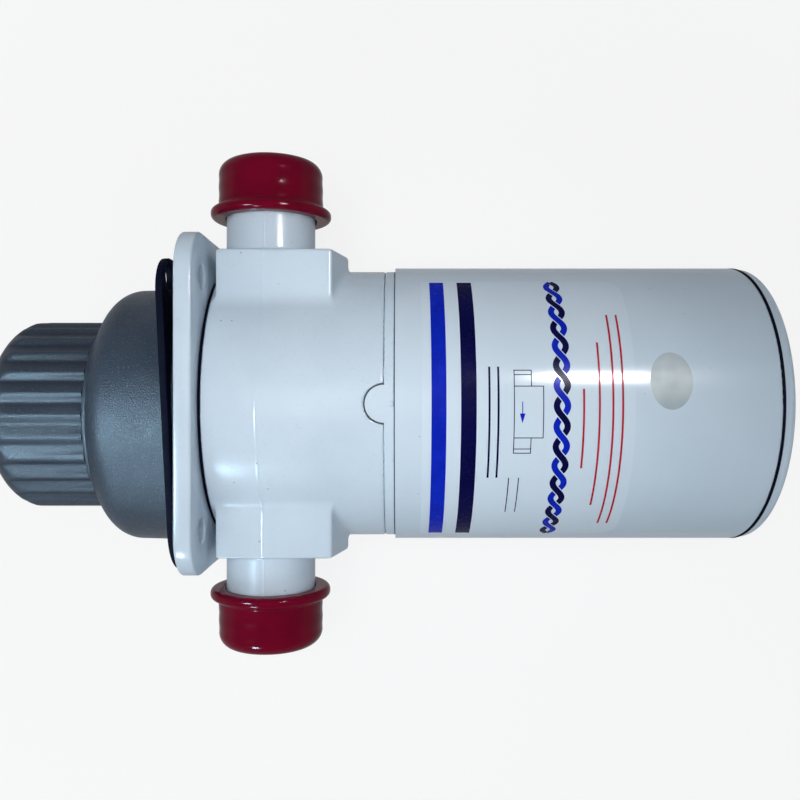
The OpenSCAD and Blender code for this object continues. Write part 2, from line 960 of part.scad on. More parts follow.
// Backward-curved vane of the waste impeller, a spiral from inside the hub to just inside the rim
module waste_vane() {
  steps = 8;
  sweep = 60;
  root_sink = 1;
  rim_step = 0.5;
  root_r = impeller_hub_r - root_sink;
  tip_r = waste_impeller_r - rim_step;
  function spiral_r(t) = root_r + (tip_r - root_r) * t;
  function edge_point(t, side) =
    let (half_angle = asin(waste_vane_t / 2 / spiral_r(t)), a = sweep * t + side * half_angle)
      spiral_r(t) * [cos(a), sin(a)];
  polygon([
    for (i = [0 : steps]) edge_point(i / steps, -1),
    for (i = [steps : -1 : 0]) edge_point(i / steps, 1)
  ]);
}

module waste_impeller()
  color(grey_plastic)
    difference() {
      union() {
        bar(x_impeller_back - disc_t, x_impeller_back, waste_impeller_r);
        bar(x_impeller_nose, x_impeller_hub, impeller_hub_r);
        axial(x_impeller_front)
          linear_extrude(x_impeller_back - disc_t / 2 - x_impeller_front)
            for (i = [0 : waste_vanes - 1])
              rotate(i * 360 / waste_vanes)
                waste_vane();
      }
      bar(x_impeller_nose - cut, x_impeller_hub + cut, shaft_r + running_fit);
    }

module flexible_impeller() {
  hub_r = 10.5;
  vane_t = 2.6;
  tip_bulb_r = 1.9;
  vane_count = 6;
  color(black_rubber)
    difference() {
      axial(x_chamber + impeller_side_gap)
        linear_extrude(impeller_len) {
          circle(r = hub_r);
          for (i = [0 : vane_count - 1])
            rotate(i * 360 / vane_count) {
              translate([0, -vane_t / 2])
                square([impeller_tip_r - tip_bulb_r, vane_t]);
              translate([impeller_tip_r - tip_bulb_r, 0])
                circle(r = tip_bulb_r);
            }
        }
      bar(x_chamber, x_chamber_end, impeller_insert_r + running_fit);
    }
}

module impeller_insert()
  color(brass)
    difference() {
      bar(x_chamber + impeller_side_gap, x_chamber_end - impeller_side_gap, impeller_insert_r);
      bar(x_chamber, x_chamber_end, shaft_r + running_fit);
      translate([x_port, -impeller_insert_r - cut, 0])
        rotate([-90, 0, 0])
          cylinder(h = 2 * (impeller_insert_r + cut), r = impeller_pin_r);
    }

module impeller_pin() {
  end_gap = 0.3;
  half_len = impeller_insert_r - end_gap;
  color(steel)
    translate([x_port, -half_len, 0])
      rotate([-90, 0, 0])
        cylinder(h = 2 * half_len, r = impeller_pin_r - running_fit);
}

module slinger()
  color(black_rubber)
    difference() {
      bar(x_slinger, x_slinger + slinger_t, slinger_r);
      bar(x_slinger - cut, x_slinger + slinger_t + cut, shaft_r + running_fit);
    }

module shaft_circlip() {
  clip_t = 1;
  clip_r = 6.6;
  gap_w = 3;
  x_clip = x_front_bearing + bearing_w + seat_fit;
  color(dark_steel)
    difference() {
      bar(x_clip, x_clip + clip_t, clip_r);
      bar(x_clip - cut, x_clip + clip_t + cut, shaft_r + running_fit);
      translate([x_clip - cut, 0, -gap_w / 2])
        cube([clip_t + 2 * cut, clip_r + cut, gap_w]);
    }
}

// Slots of the armature, shrunk by a clearance for the winding bars
module slot_bars(clear)
  for (i = [0 : armature_slots - 1])
    rotate(i * 360 / armature_slots)
      translate([slot_root_r + clear, -slot_w / 2 + clear])
        square([slot_tip_r - slot_root_r - 2 * clear, slot_w - 2 * clear]);

module armature_core()
  color(dark_steel)
    axial(x_core)
      linear_extrude(x_core_end - x_core)
        difference() {
          circle(r = armature_r);
          slot_bars(0);
          for (i = [0 : armature_slots - 1])
            rotate(i * 360 / armature_slots)
              translate([slot_tip_r - cut, -slot_mouth_w / 2])
                square([tooth_tip_t + 2 * cut, slot_mouth_w]);
          circle(r = shaft_r + running_fit);
        }

module armature_windings() {
  slot_clear = 0.2;
  ring_in_r = slot_root_r + slot_clear;
  ring_out_r = slot_tip_r - slot_clear;
  color(copper)
    union() {
      axial(x_core - winding_end)
        linear_extrude(x_core_end - x_core + 2 * winding_end)
          slot_bars(slot_clear);
      for (x = [x_core - winding_end, x_core_end])
        axial(x)
          rotate_extrude()
            translate([ring_in_r, 0])
              square([ring_out_r - ring_in_r, winding_end]);
    }
}

module commutator() {
  groove = 0.6;
  color(copper)
    axial(x_commutator)
      linear_extrude(commutator_len)
        difference() {
          circle(r = commutator_r);
          for (i = [0 : 2 * armature_slots - 1])
            rotate((i + 0.5) * 180 / armature_slots)
              translate([commutator_r - groove, -groove / 2])
                square([2 * groove, groove]);
          circle(r = shaft_r + running_fit);
        }
}

// Push-on cap drawn with its open end at Z = 0, as radius and height
module port_cap() {
  cap_bore_r = port_r + cap_fit;
  cap_r = cap_bore_r + cap_wall;
  rotate_extrude()
    difference() {
      union() {
        round_topped(cap_r, cap_len, cap_round);
        square([cap_r + cap_rim - cap_bead_r, 2 * cap_bead_r]);
        translate([cap_r + cap_rim - cap_bead_r, cap_bead_r])
          intersection() {
            circle(r = cap_bead_r);
            translate([0, -cap_bead_r])
              square([cap_bead_r, 2 * cap_bead_r]);
          }
      }
      translate([0, -cut])
        square([cap_bore_r, cap_len - cap_wall + cut]);
    }
}

// Cap pushed home: its end wall stops just short of the spigot's end
module fitted_cap()
  color(red_vinyl)
    on_port(port_reach + cap_fit + cap_wall - cap_len)
      port_cap();

module inlet_cap()
  fitted_cap();

module outlet_cap()
  mirror([0, 1, 0])
    fitted_cap();

intake_collar();
cutter_plate();
macerator_housing();
housing_screws();
flange_gasket();
mounting_flange();
body_screws();
waste_shaft_seal();
body_seal();
wear_plate();
pump_body();
rinse_shaft_seal();
end_bell();
front_bearing();
motor_can();
magnets();
brush_plate();
brush_boxes();
brushes();
brush_springs();
rear_end_bell();
rear_bearing();
through_bolts();
motor_cover();
cover_end_cap();
cable_grommet();
shaft();
knife_nut();
macerator_knife();
knife_spacer();
waste_impeller();
flexible_impeller();
impeller_insert();
impeller_pin();
slinger();
shaft_circlip();
armature_core();
armature_windings();
commutator();
inlet_cap();
outlet_cap();
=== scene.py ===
"""Looks of the macerator toilet pump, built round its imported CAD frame.

Shapes are worked out in millimetres and become metres where a mesh is made.
X runs along the motor axis, Y towards the inlet port and Z towards the label side.
"""

import json
import math

import bmesh
import bpy
import numpy as np
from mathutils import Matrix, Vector


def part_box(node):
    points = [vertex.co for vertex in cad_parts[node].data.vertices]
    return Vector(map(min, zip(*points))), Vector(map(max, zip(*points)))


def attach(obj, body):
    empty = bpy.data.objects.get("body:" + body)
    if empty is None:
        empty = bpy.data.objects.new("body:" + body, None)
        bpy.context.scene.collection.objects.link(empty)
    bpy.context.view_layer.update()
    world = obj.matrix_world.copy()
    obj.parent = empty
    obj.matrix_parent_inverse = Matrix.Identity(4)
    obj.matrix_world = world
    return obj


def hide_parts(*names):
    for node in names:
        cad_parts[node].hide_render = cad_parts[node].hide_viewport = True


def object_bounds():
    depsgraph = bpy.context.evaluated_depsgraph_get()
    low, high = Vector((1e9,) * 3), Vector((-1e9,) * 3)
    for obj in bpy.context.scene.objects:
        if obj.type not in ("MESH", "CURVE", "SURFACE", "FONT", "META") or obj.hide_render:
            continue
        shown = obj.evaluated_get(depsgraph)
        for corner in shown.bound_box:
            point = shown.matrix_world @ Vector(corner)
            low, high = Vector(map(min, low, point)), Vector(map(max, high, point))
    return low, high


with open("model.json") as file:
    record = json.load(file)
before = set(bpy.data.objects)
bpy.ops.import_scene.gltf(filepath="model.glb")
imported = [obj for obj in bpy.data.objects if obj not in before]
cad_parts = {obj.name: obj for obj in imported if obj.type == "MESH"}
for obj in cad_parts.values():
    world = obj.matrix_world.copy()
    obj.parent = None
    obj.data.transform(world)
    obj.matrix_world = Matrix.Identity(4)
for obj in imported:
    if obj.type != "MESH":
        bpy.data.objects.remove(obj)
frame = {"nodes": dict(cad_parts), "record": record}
cad_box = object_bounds()
MM = 0.001
# Vertices that are closer than this are one, in metres
WELD = 1e-7


# Sizes

def low(node):
    """Lowest corner of a CAD node, in millimetres."""
    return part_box(node)[0] / MM


def high(node):
    """Highest corner of a CAD node, in millimetres."""
    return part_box(node)[1] / MM


x_mouth = low("intake_collar").x
x_collar = high("intake_collar").x
x_flange_back = low("body_seal").x
x_body = low("pump_body").x
x_ring = high("pump_body").x
x_cover = low("motor_cover").x
x_rim = high("motor_cover").x
x_wear_plate = low("wear_plate").x
x_chamber = high("wear_plate").x
x_rinse_seal = low("rinse_shaft_seal").x
x_rinse_seal_end = high("rinse_shaft_seal").x

wet_y = (low("macerator_housing").y + high("macerator_housing").y) / 2
flange_half = high("mounting_flange").z
gasket_half = high("flange_gasket").z
housing_r = high("macerator_housing").z
collar_ring_r = high("intake_collar").z
body_r = high("pump_body").z
cover_r = high("motor_cover").z
port_reach = high("pump_body").y
port_x = (low("inlet_cap").x + high("inlet_cap").x) / 2
port_z = (low("inlet_cap").z + high("inlet_cap").z) / 2
cap_start = low("inlet_cap").y
cap_end = high("inlet_cap").y
cap_rim_r = high("inlet_cap").x - port_x
seal_r = high("rinse_shaft_seal").z
register_r = high("wear_plate").z

# Mounting flange and gasket
flange_corner = 12.2
bolt_half = 35
bolt_hole_r = 3.3
gasket_t = 2
gasket_corner = 11
gasket_drop = 2.6
gasket_lean = math.radians(2.9)
gasket_hole_r = 3.8
gasket_bore_spare = 0.6

# Intake collar
collar_r = 29.3
collar_ring_w = 1.8
collar_round = 12
collar_bore_r = 22
collar_seat_r = 25.5
collar_seat_len = 6.5
mouth_r = 14
mouth_lip = 4
flute_count = 28
flute_depth = 1.4
flute_valley = 0.36
flute_knee = 0.74
flute_knee_share = 0.45
ridge_spare = 0.4

# Pump body, its port blocks and its inside
block_reach = 43.9
block_half = 15.75
block_front = 13.3
block_rear = 23.2
block_taper = 3.7
block_flat = 1.5
port_r = 13.22
port_bore_r = 9.5
port_bore_len = 29
waterway_r = 8
chamber_r = 24.5
cam_rise = 3.8
cam_half = 5.6
seat_fit = 0.1
shaft_clear_r = 4.6
slinger_room_r = 19
bell_register_r = 36
bell_register_len = 3
x_bell = x_ring - bell_register_len
weep_x = (x_rinse_seal_end + x_bell) / 2
weep_r = 1.5
body_screw_r = 2.5
body_screw_circle_r = (register_r + seat_fit + body_r) / 2
body_screw_angles = (60, 120, 240, 300)
tab_r = 5.1
tab_gap = 0.4
tab_floor_z = bell_register_r + 1

# Port spigots' threads, under the caps
thread_pitch = 1.814
thread_depth = 1.16
thread_root_r = port_r - thread_depth
thread_start = cap_start + 1.2
thread_end = port_reach - 0.5

# Port caps
cap_bore_r = port_r + 0.3
cap_r = cap_bore_r + 2
cap_bead = 2.8
cap_round = 4

# Label on the cover: X stations, and degrees round the cover from its middle towards the inlet
label_x = (65.2, 122.3)
label_deg = (-65, 56)
label_corner = 6
label_left_corner = 2
film_lift = 0.005
film_t = 0.12
ink_gap = 0.015
ink_t = 0.025

# Dark strips of painted shadow in the seams at the cover's ends: how far they reach before and after its
# edge
end_seam_before, end_seam_after = 0.2, 0.42
front_seam_before, front_seam_after = 0.24, 0.02


# Meshes

def add_piece(name, vertices, faces, material, body="root", stands_for=(), sharp=40):
    """Makes a mesh from millimetres, shades it smooth up to a sharp angle and rides it on a body."""
    mesh = bpy.data.meshes.new(name)
    mesh.from_pydata([Vector(v) * MM for v in vertices], [], faces)
    return add_mesh(name, mesh, material, body, stands_for, sharp)


def add_mesh(name, mesh, material, body="root", stands_for=(), sharp=40):
    """Makes a piece of a finished mesh, in metres."""
    work = bmesh.new()
    work.from_mesh(mesh)
    bmesh.ops.remove_doubles(work, verts=work.verts, dist=WELD)
    bmesh.ops.recalc_face_normals(work, faces=work.faces)
    work.to_mesh(mesh)
    work.free()
    mesh.polygons.foreach_set("use_smooth", [True] * len(mesh.polygons))
    mesh.set_sharp_from_angle(angle=math.radians(sharp))
    mesh.materials.append(material)
    piece = bpy.data.objects.new(name, mesh)
    bpy.context.scene.collection.objects.link(piece)
    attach(piece, body)
    if stands_for:
        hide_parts(*stands_for)
    return piece


def fillet(corners, steps=8):
    """Closed outline of (a, b, radius) corners as points, each corner rounded by its radius."""
    points = []
    for i, (a, b, radius) in enumerate(corners):
        here = np.array((a, b), float)
        if radius <= 0:
            points.append(tuple(here))
            continue
        before = np.array(corners[i - 1][:2], float) - here
        after = np.array(corners[(i + 1) % len(corners)][:2], float) - here
        before /= np.linalg.norm(before)
        after /= np.linalg.norm(after)
        half = math.acos(np.clip(before @ after, -1, 1)) / 2
        middle = (before + after) / np.linalg.norm(before + after)
        centre = here + middle * radius / math.sin(half)
        start = here + before * radius / math.tan(half) - centre
        end = here + after * radius / math.tan(half) - centre
        swing = math.acos(np.clip(start @ end / radius**2, -1, 1))
        for k in range(steps + 1):
            t = k / steps
            mixed = (math.sin((1 - t) * swing) * start + math.sin(t * swing) * end) / math.sin(swing)
            points.append(tuple(centre + mixed))
    return points


def lathe(loop, place, segments, shape=None):
    """Vertices and faces of a closed (radius, height) loop turned round an axis.

    place(radius, angle, height) gives a point, and shape(radius, angle, height) changes the radius.
    """
    angles = [2 * math.pi * k / segments for k in range(segments)]
    vertices = []
    for radius, height in loop:
        for angle in angles:
            r = shape(radius, angle, height) if shape else radius
            vertices.append(place(r, angle, height))
    count = len(loop)
    faces = []
    for i in range(count):
        for k in range(segments):
            a = i * segments + k
            b = i * segments + (k + 1) % segments
            c = (i + 1) % count * segments + (k + 1) % segments
            d = (i + 1) % count * segments + k
            faces.append((a, b, c, d))
    return vertices, faces


def round_motor_axis(radius, angle, height):
    """Point at a height along X, about the motor axis."""
    return (height, radius * math.cos(angle), radius * math.sin(angle))


def round_wet_axis(radius, angle, height):
    """Point at a height along X, about the wet end's axis."""
    return (height, wet_y + radius * math.cos(angle), radius * math.sin(angle))


def round_port_axis(side):
    """Place function about a port's axis: side 1 is the inlet and -1 the outlet."""
    def place(radius, angle, height):
        return (port_x + radius * math.cos(angle), side * height, port_z + radius * math.sin(angle))
    return place


# Smooth solids from a distance formula

def soft_min(a, b, blend):
    """Smaller of two distances, blended into a fillet where they meet."""
    gap = np.maximum(blend - np.abs(a - b), 0) / blend
    return np.minimum(a, b) - gap * gap * blend / 4


def soft_max(a, b, blend):
    """Larger of two distances, blended into a rounded edge where they meet."""
    return -soft_min(-a, -b, blend)


def graded(start, stop, coarse, fine, zones):
    """Grid positions from start to stop, closer together inside the (from, to) zones."""
    positions = [start]
    while positions[-1] < stop:
        here = positions[-1]
        close = any(a - coarse <= here <= b for a, b in zones)
        positions.append(here + (fine if close else coarse))
    return np.array(positions)


def surface_net(distance, axes):
    """Quad mesh of the zero surface of a distance formula, sampled on three grid axes."""
    grid = np.stack(np.meshgrid(*axes, indexing="ij"), axis=-1)
    value = distance(grid.reshape(-1, 3)).reshape(grid.shape[:3])
    inside = value < 0
    cells = tuple(n - 1 for n in value.shape)
    total = np.zeros(cells + (3,))
    crossings = np.zeros(cells)
    for axis in range(3):
        for first in (0, 1):
            for second in (0, 1):
                shifts = [first, second]
                shifts.insert(axis, 0)
                near = tuple(slice(s, s + n) for s, n in zip(shifts, cells))
                shifts[axis] = 1
                far = tuple(slice(s, s + n) for s, n in zip(shifts, cells))
                crosses = inside[near] != inside[far]
                span = np.where(crosses, value[near] - value[far], 1)
                share = np.where(crosses, value[near] / span, 0)[..., None]
                point = grid[near] + share * (grid[far] - grid[near])
                total += np.where(crosses[..., None], point, 0)
                crossings += crosses
    used = crossings > 0
    index = np.full(cells, -1)
    index[used] = np.arange(used.sum())
    vertices = total[used] / crossings[used][:, None]
    faces = []
    for axis in range(3):
        one, two = [a for a in range(3) if a != axis]
        near = [slice(1, n) for n in cells]
        near[axis] = slice(0, cells[axis])
        far = list(near)
        far[axis] = slice(1, cells[axis] + 1)
        leaves = inside[tuple(near)] & ~inside[tuple(far)]
        enters = ~inside[tuple(near)] & inside[tuple(far)]

        def cell(back_one, back_two):
            part = [slice(0, cells[axis])] * 3
            part[one] = slice(1 - back_one, cells[one] - back_one)
            part[two] = slice(1 - back_two, cells[two] - back_two)
            return index[tuple(part)]

        ring = (cell(1, 1), cell(0, 1), cell(0, 0), cell(1, 0))
        turns = ((leaves, axis != 1), (enters, axis == 1))
        for crosses, forward in turns:
            quads = np.stack([c[crosses] for c in ring], axis=-1)
            faces.append(quads if forward else quads[:, ::-1])
    return settle(vertices, distance), np.concatenate(faces)


def settle(vertices, distance, rounds=4, step=0.02, reach=0.4, least_slope=0.05):
    """Moves vertices onto the zero surface along the formula's slope."""
    for _ in range(rounds):
        away = distance(vertices)
        slope = np.zeros_like(vertices)
        for axis in range(3):
            shift = np.zeros(3)
            shift[axis] = step
            slope[:, axis] = (distance(vertices + shift) - distance(vertices - shift)) / (2 * step)
        size = np.maximum((slope**2).sum(axis=1), least_slope)
        vertices = vertices - np.clip(away / size, -reach, reach)[:, None] * slope
    return vertices


# Materials

# Where most of a noise texture's values lie
NOISE_RANGE = (0.3, 0.7)


def add_node(tree, kind, inputs=None, **settings):
    """Adds a shader node, sets its properties, and sets or links its inputs."""
    node = tree.nodes.new("ShaderNode" + kind)
    for key, value in settings.items():
        setattr(node, key, value)
    for key, value in (inputs or {}).items():
        if isinstance(value, bpy.types.NodeSocket):
            tree.links.new(value, node.inputs[key])
        else:
            node.inputs[key].default_value = value
    return node


def noise(tree, where, size, detail=3.0):
    """Noise whose patches are about size millimetres across."""
    inputs = {"Vector": where, "Scale": 1 / (size * MM), "Detail": detail, "Roughness": 0.5}
    return add_node(tree, "TexNoise", inputs).outputs["Fac"]


def remap(tree, value, low_in, high_in, low_out, high_out):
    """Value stretched from one range to another, and clamped."""
    inputs = {"Value": value, "From Min": low_in, "From Max": high_in, "To Min": low_out, "To Max": high_out}
    return add_node(tree, "MapRange", inputs).outputs["Result"]


def mix(tree, factor, first, second):
    """Colour between first and second."""
    factor_at, first_at, second_at, colour_out = 0, 6, 7, 2
    inputs = {factor_at: factor, first_at: first, second_at: second}
    return add_node(tree, "Mix", inputs, data_type="RGBA").outputs[colour_out]


def times(tree, first, second):
    """First value times the second."""
    return add_node(tree, "Math", {0: first, 1: second}, operation="MULTIPLY").outputs["Value"]


def rgba(colour):
    """Colour with full opacity."""
    return (*colour, 1.0)


def with_specks(tree, where, tone, colour, size, share):
    """Tone with small spots of another colour in the moulding."""
    faint, full = 0.6, 0.72
    spots = remap(tree, noise(tree, where, size, detail=2.0), faint, full, 0, share)
    return mix(tree, spots, tone, rgba(colour))


def with_grit(tree, where, tone, colour, size, share):
    """Tone with a few specks of dirt, far apart."""
    spread = 6.0
    soft_edge = 1.6
    inputs = {"Vector": where, "Scale": 1 / (spread * MM)}
    away = add_node(tree, "TexVoronoi", inputs).outputs["Distance"]
    spots = remap(tree, away, size / spread, soft_edge * size / spread, share, 0)
    return mix(tree, spots, tone, rgba(colour))


def with_dust_and_crease_shade(tree, where, tone, colour, share):
    """Tone darkened where the ambient occlusion finds creases, in uneven patches: dust and painted crease
    shade.
    """
    crease, patch = 3.0, 7.0
    most, least = 0.75, 0.35
    full = 0.45
    # Painted shade: the ambient occlusion darkens every crease, whether or not dust would gather there.
    open_sky = add_node(tree, "AmbientOcclusion", {"Distance": crease * MM}, samples=6).outputs["AO"]
    uneven = remap(tree, noise(tree, where, patch), *NOISE_RANGE, most, least)
    depth = add_node(tree, "Math", {0: uneven, 1: open_sky}, operation="SUBTRACT").outputs["Value"]
    return mix(tree, remap(tree, depth, 0, full, 0, share), tone, rgba(colour))


def with_valley_shade(tree, where, tone, colour, share, radii, stations):
    """Tone with painted shade that fades out between two radii about the wet end's axis.

    Along X it grows from its least share at the first station to all of it at the second.
    """
    least = 0.3
    axis = add_node(tree, "VectorMath", {0: where, 1: (0, wet_y * MM, 0)}, operation="SUBTRACT")
    inputs = {0: axis.outputs["Vector"], 1: (0, 1, 1)}
    across = add_node(tree, "VectorMath", inputs, operation="MULTIPLY").outputs["Vector"]
    reach = add_node(tree, "VectorMath", {0: across}, operation="LENGTH").outputs["Value"]
    # Painted shade: darker the deeper a point lies in the flutes' valleys.
    deep = remap(tree, reach, radii[0] * MM, radii[1] * MM, share, 0)
    along = add_node(tree, "SeparateXYZ", {"Vector": where}).outputs["X"]
    fade = remap(tree, along, stations[0] * MM, stations[1] * MM, least, 1)
    return mix(tree, times(tree, deep, fade), tone, rgba(colour))


def surface(name, colour, shade, gloss, grain, patch=30.0, speck=None, grit=None, dust_and_crease_shade=None, valley_shade=None,
            stretch=None, **sockets):
    """Material that drifts between two tones, with grain in its relief and patches in its gloss.

    gloss is the (least, most) roughness and grain is (size, depth) in millimetres. speck and grit are
    (colour, size, share), dust_and_crease_shade is (colour, share) for dust and painted shade in creases,
    valley_shade is (colour, share, radii, stations) for painted shade in hollows, and stretch scales the
    pattern along X, Y and Z. sockets are set on the shader.
    """
    tone_range = (0.35, 0.65)
    gloss_patch = patch / 4
    grain_size, grain_depth = grain
    made = bpy.data.materials.new(name)
    made.use_nodes = True
    tree = made.node_tree
    shader = tree.nodes["Principled BSDF"]
    where = add_node(tree, "TexCoord").outputs["Object"]
    if stretch:
        where = add_node(tree, "Mapping", {"Vector": where, "Scale": stretch}).outputs["Vector"]
    tone = mix(tree, remap(tree, noise(tree, where, patch), *tone_range, 0, 1), rgba(colour), rgba(shade))
    layers = ((with_specks, speck), (with_grit, grit), (with_dust_and_crease_shade, dust_and_crease_shade), (with_valley_shade, valley_shade))
    for layer, given in layers:
        if given:
            tone = layer(tree, where, tone, *given)
    tree.links.new(tone, shader.inputs["Base Color"])
    rough = remap(tree, noise(tree, where, gloss_patch), *NOISE_RANGE, *gloss)
    tree.links.new(rough, shader.inputs["Roughness"])
    relief = noise(tree, where, grain_size, detail=4.0)
    bump = add_node(tree, "Bump", {"Height": relief, "Distance": grain_depth * MM, "Strength": 1.0})
    tree.links.new(bump.outputs["Normal"], shader.inputs["Normal"])
    for key, value in sockets.items():
        shader.inputs[key.replace("_", " ")].default_value = value
    return made


def ink(name, colour, shade, speck):
    """Thin, dull printing ink."""
    return surface(name, colour, shade, gloss=(0.2, 0.3), grain=(0.5, 0.004), patch=6,
                   speck=(speck, 0.35, 0.3), Specular_IOR_Level=0.05)


WHITE = (0.66, 0.765, 0.86)
WHITE_SHADE = (0.61, 0.715, 0.81)
# Colour of the white moulding's creases: dust and painted shade.
GRIME_AND_CREASE_SHADE = (0.10, 0.12, 0.15)
GREY_FINISH = {
    "gloss": (0.34, 0.42), "grain": (0.38, 0.18), "patch": 14, "speck": ((0.16, 0.21, 0.26), 0.5, 0.5),
    "Specular_IOR_Level": 0.35}

materials = {
    "white_body": surface(
        "white_moulding", WHITE, WHITE_SHADE, gloss=(0.16, 0.24), grain=(0.7, 0.002), patch=22,
        speck=((0.50, 0.58, 0.65), 0.9, 0.2), grit=((0.16, 0.19, 0.23), 0.2, 0.6), dust_and_crease_shade=(GRIME_AND_CREASE_SHADE, 0.6),
        Specular_IOR_Level=0.25),
    "white_cover": surface(
        "white_paint", WHITE, WHITE_SHADE, gloss=(0.15, 0.2), grain=(1.6, 0.0012), patch=45,
        speck=((0.55, 0.63, 0.70), 0.5, 0.12), grit=((0.3, 0.35, 0.4), 0.18, 0.5),
        Specular_IOR_Level=0.25),
    "grey_plastic": surface("grey_moulding", (0.042, 0.064, 0.1), (0.03, 0.046, 0.075), **GREY_FINISH),
    "black_rubber": surface(
        "black_rubber", (0.0022, 0.003, 0.014), (0.004, 0.005, 0.018),
        gloss=(0.5, 0.7), grain=(0.4, 0.03), patch=9,
        speck=((0.008, 0.009, 0.02), 0.8, 0.3), Specular_IOR_Level=0.03),
    "red_vinyl": surface(
        "red_vinyl", (0.19, 0.0006, 0.018), (0.155, 0.0005, 0.0155),
        gloss=(0.08, 0.13), grain=(2.6, 0.03), patch=8,
        speck=((0.205, 0.0015, 0.022), 1.4, 0.4), dust_and_crease_shade=((0.02, 0.0, 0.004), 0.6), Specular_IOR_Level=0.1),
    "steel": surface(
        "stainless_steel", (0.58, 0.58, 0.6), (0.48, 0.48, 0.5),
        gloss=(0.22, 0.38), grain=(0.6, 0.01), patch=6,
        stretch=(0.15, 1, 1), Metallic=1.0),
    "dark_steel": surface(
        "black_oxide", (0.07, 0.07, 0.078), (0.045, 0.045, 0.052),
        gloss=(0.35, 0.55), grain=(0.5, 0.01), patch=8,
        speck=((0.14, 0.12, 0.11), 0.8, 0.3), Metallic=0.6),
    "copper": surface(
        "copper", (0.62, 0.28, 0.13), (0.44, 0.17, 0.08), gloss=(0.25, 0.42), grain=(0.5, 0.02), patch=5,
        stretch=(0.2, 1, 1), Metallic=1.0),
    "brass": surface(
        "brass", (0.66, 0.47, 0.18), (0.52, 0.34, 0.12),
        gloss=(0.25, 0.4), grain=(0.7, 0.01), patch=6, Metallic=1.0),
    "ferrite": surface(
        "ferrite", (0.045, 0.045, 0.048), (0.03, 0.03, 0.033), gloss=(0.5, 0.7), grain=(0.5, 0.03), patch=6,
        speck=((0.1, 0.09, 0.085), 0.6, 0.4)),
    "fibre_board": surface(
        "fibre_board", (0.27, 0.14, 0.06), (0.2, 0.095, 0.04), gloss=(0.45, 0.6), grain=(0.4, 0.02), patch=4,
        stretch=(1, 0.3, 1)),
    "carbon": surface(
        "carbon", (0.025, 0.025, 0.027), (0.016, 0.016, 0.018), gloss=(0.4, 0.6), grain=(0.4, 0.02), patch=4,
        speck=((0.08, 0.08, 0.085), 0.5, 0.5)),
}
# The collar's flute valleys and creases get painted shade, near black.
flute_radii = (collar_r - 1.1 * flute_depth, collar_r - 0.45)
rounded_end = (x_mouth, x_mouth + collar_round)
valley_shaded_collar = surface(
    "grey_collar", (0.046, 0.068, 0.105), (0.032, 0.049, 0.078), dust_and_crease_shade=((0.004, 0.005, 0.01), 0.85),
    valley_shade=((0.012, 0.014, 0.03), 0.85, flute_radii, rounded_end), **GREY_FINISH)
film = surface(
    "label_film", (0.70, 0.80, 0.89), (0.67, 0.77, 0.865), gloss=(0.13, 0.16), grain=(9.0, 0.003), patch=40,
    speck=((0.6, 0.69, 0.78), 0.5, 0.08), Specular_IOR_Level=0.3)
blue_ink = ink("blue_ink", (0.004, 0.022, 0.52), (0.003, 0.016, 0.43), (0.01, 0.04, 0.55))
navy_ink = ink("navy_ink", (0.003, 0.003, 0.062), (0.002, 0.002, 0.045), (0.006, 0.007, 0.085))
red_ink = ink("red_ink", (0.50, 0.015, 0.04), (0.42, 0.012, 0.03), (0.55, 0.05, 0.08))
foil = surface(
    "silver_foil", (0.40, 0.47, 0.48), (0.27, 0.34, 0.39), gloss=(0.44, 0.52), grain=(0.6, 0.002), patch=12,
    speck=((0.38, 0.43, 0.47), 0.5, 0.2), Specular_IOR_Level=0.5)

for part in frame["record"]["subparts"]:
    carried = frame["nodes"].get(part["node"])
    if carried:
        carried.data.materials.clear()
        carried.data.materials.append(materials[part["material_slot"]])


# Pump body: the barrel, port blocks and spigots blend into each other as one moulding

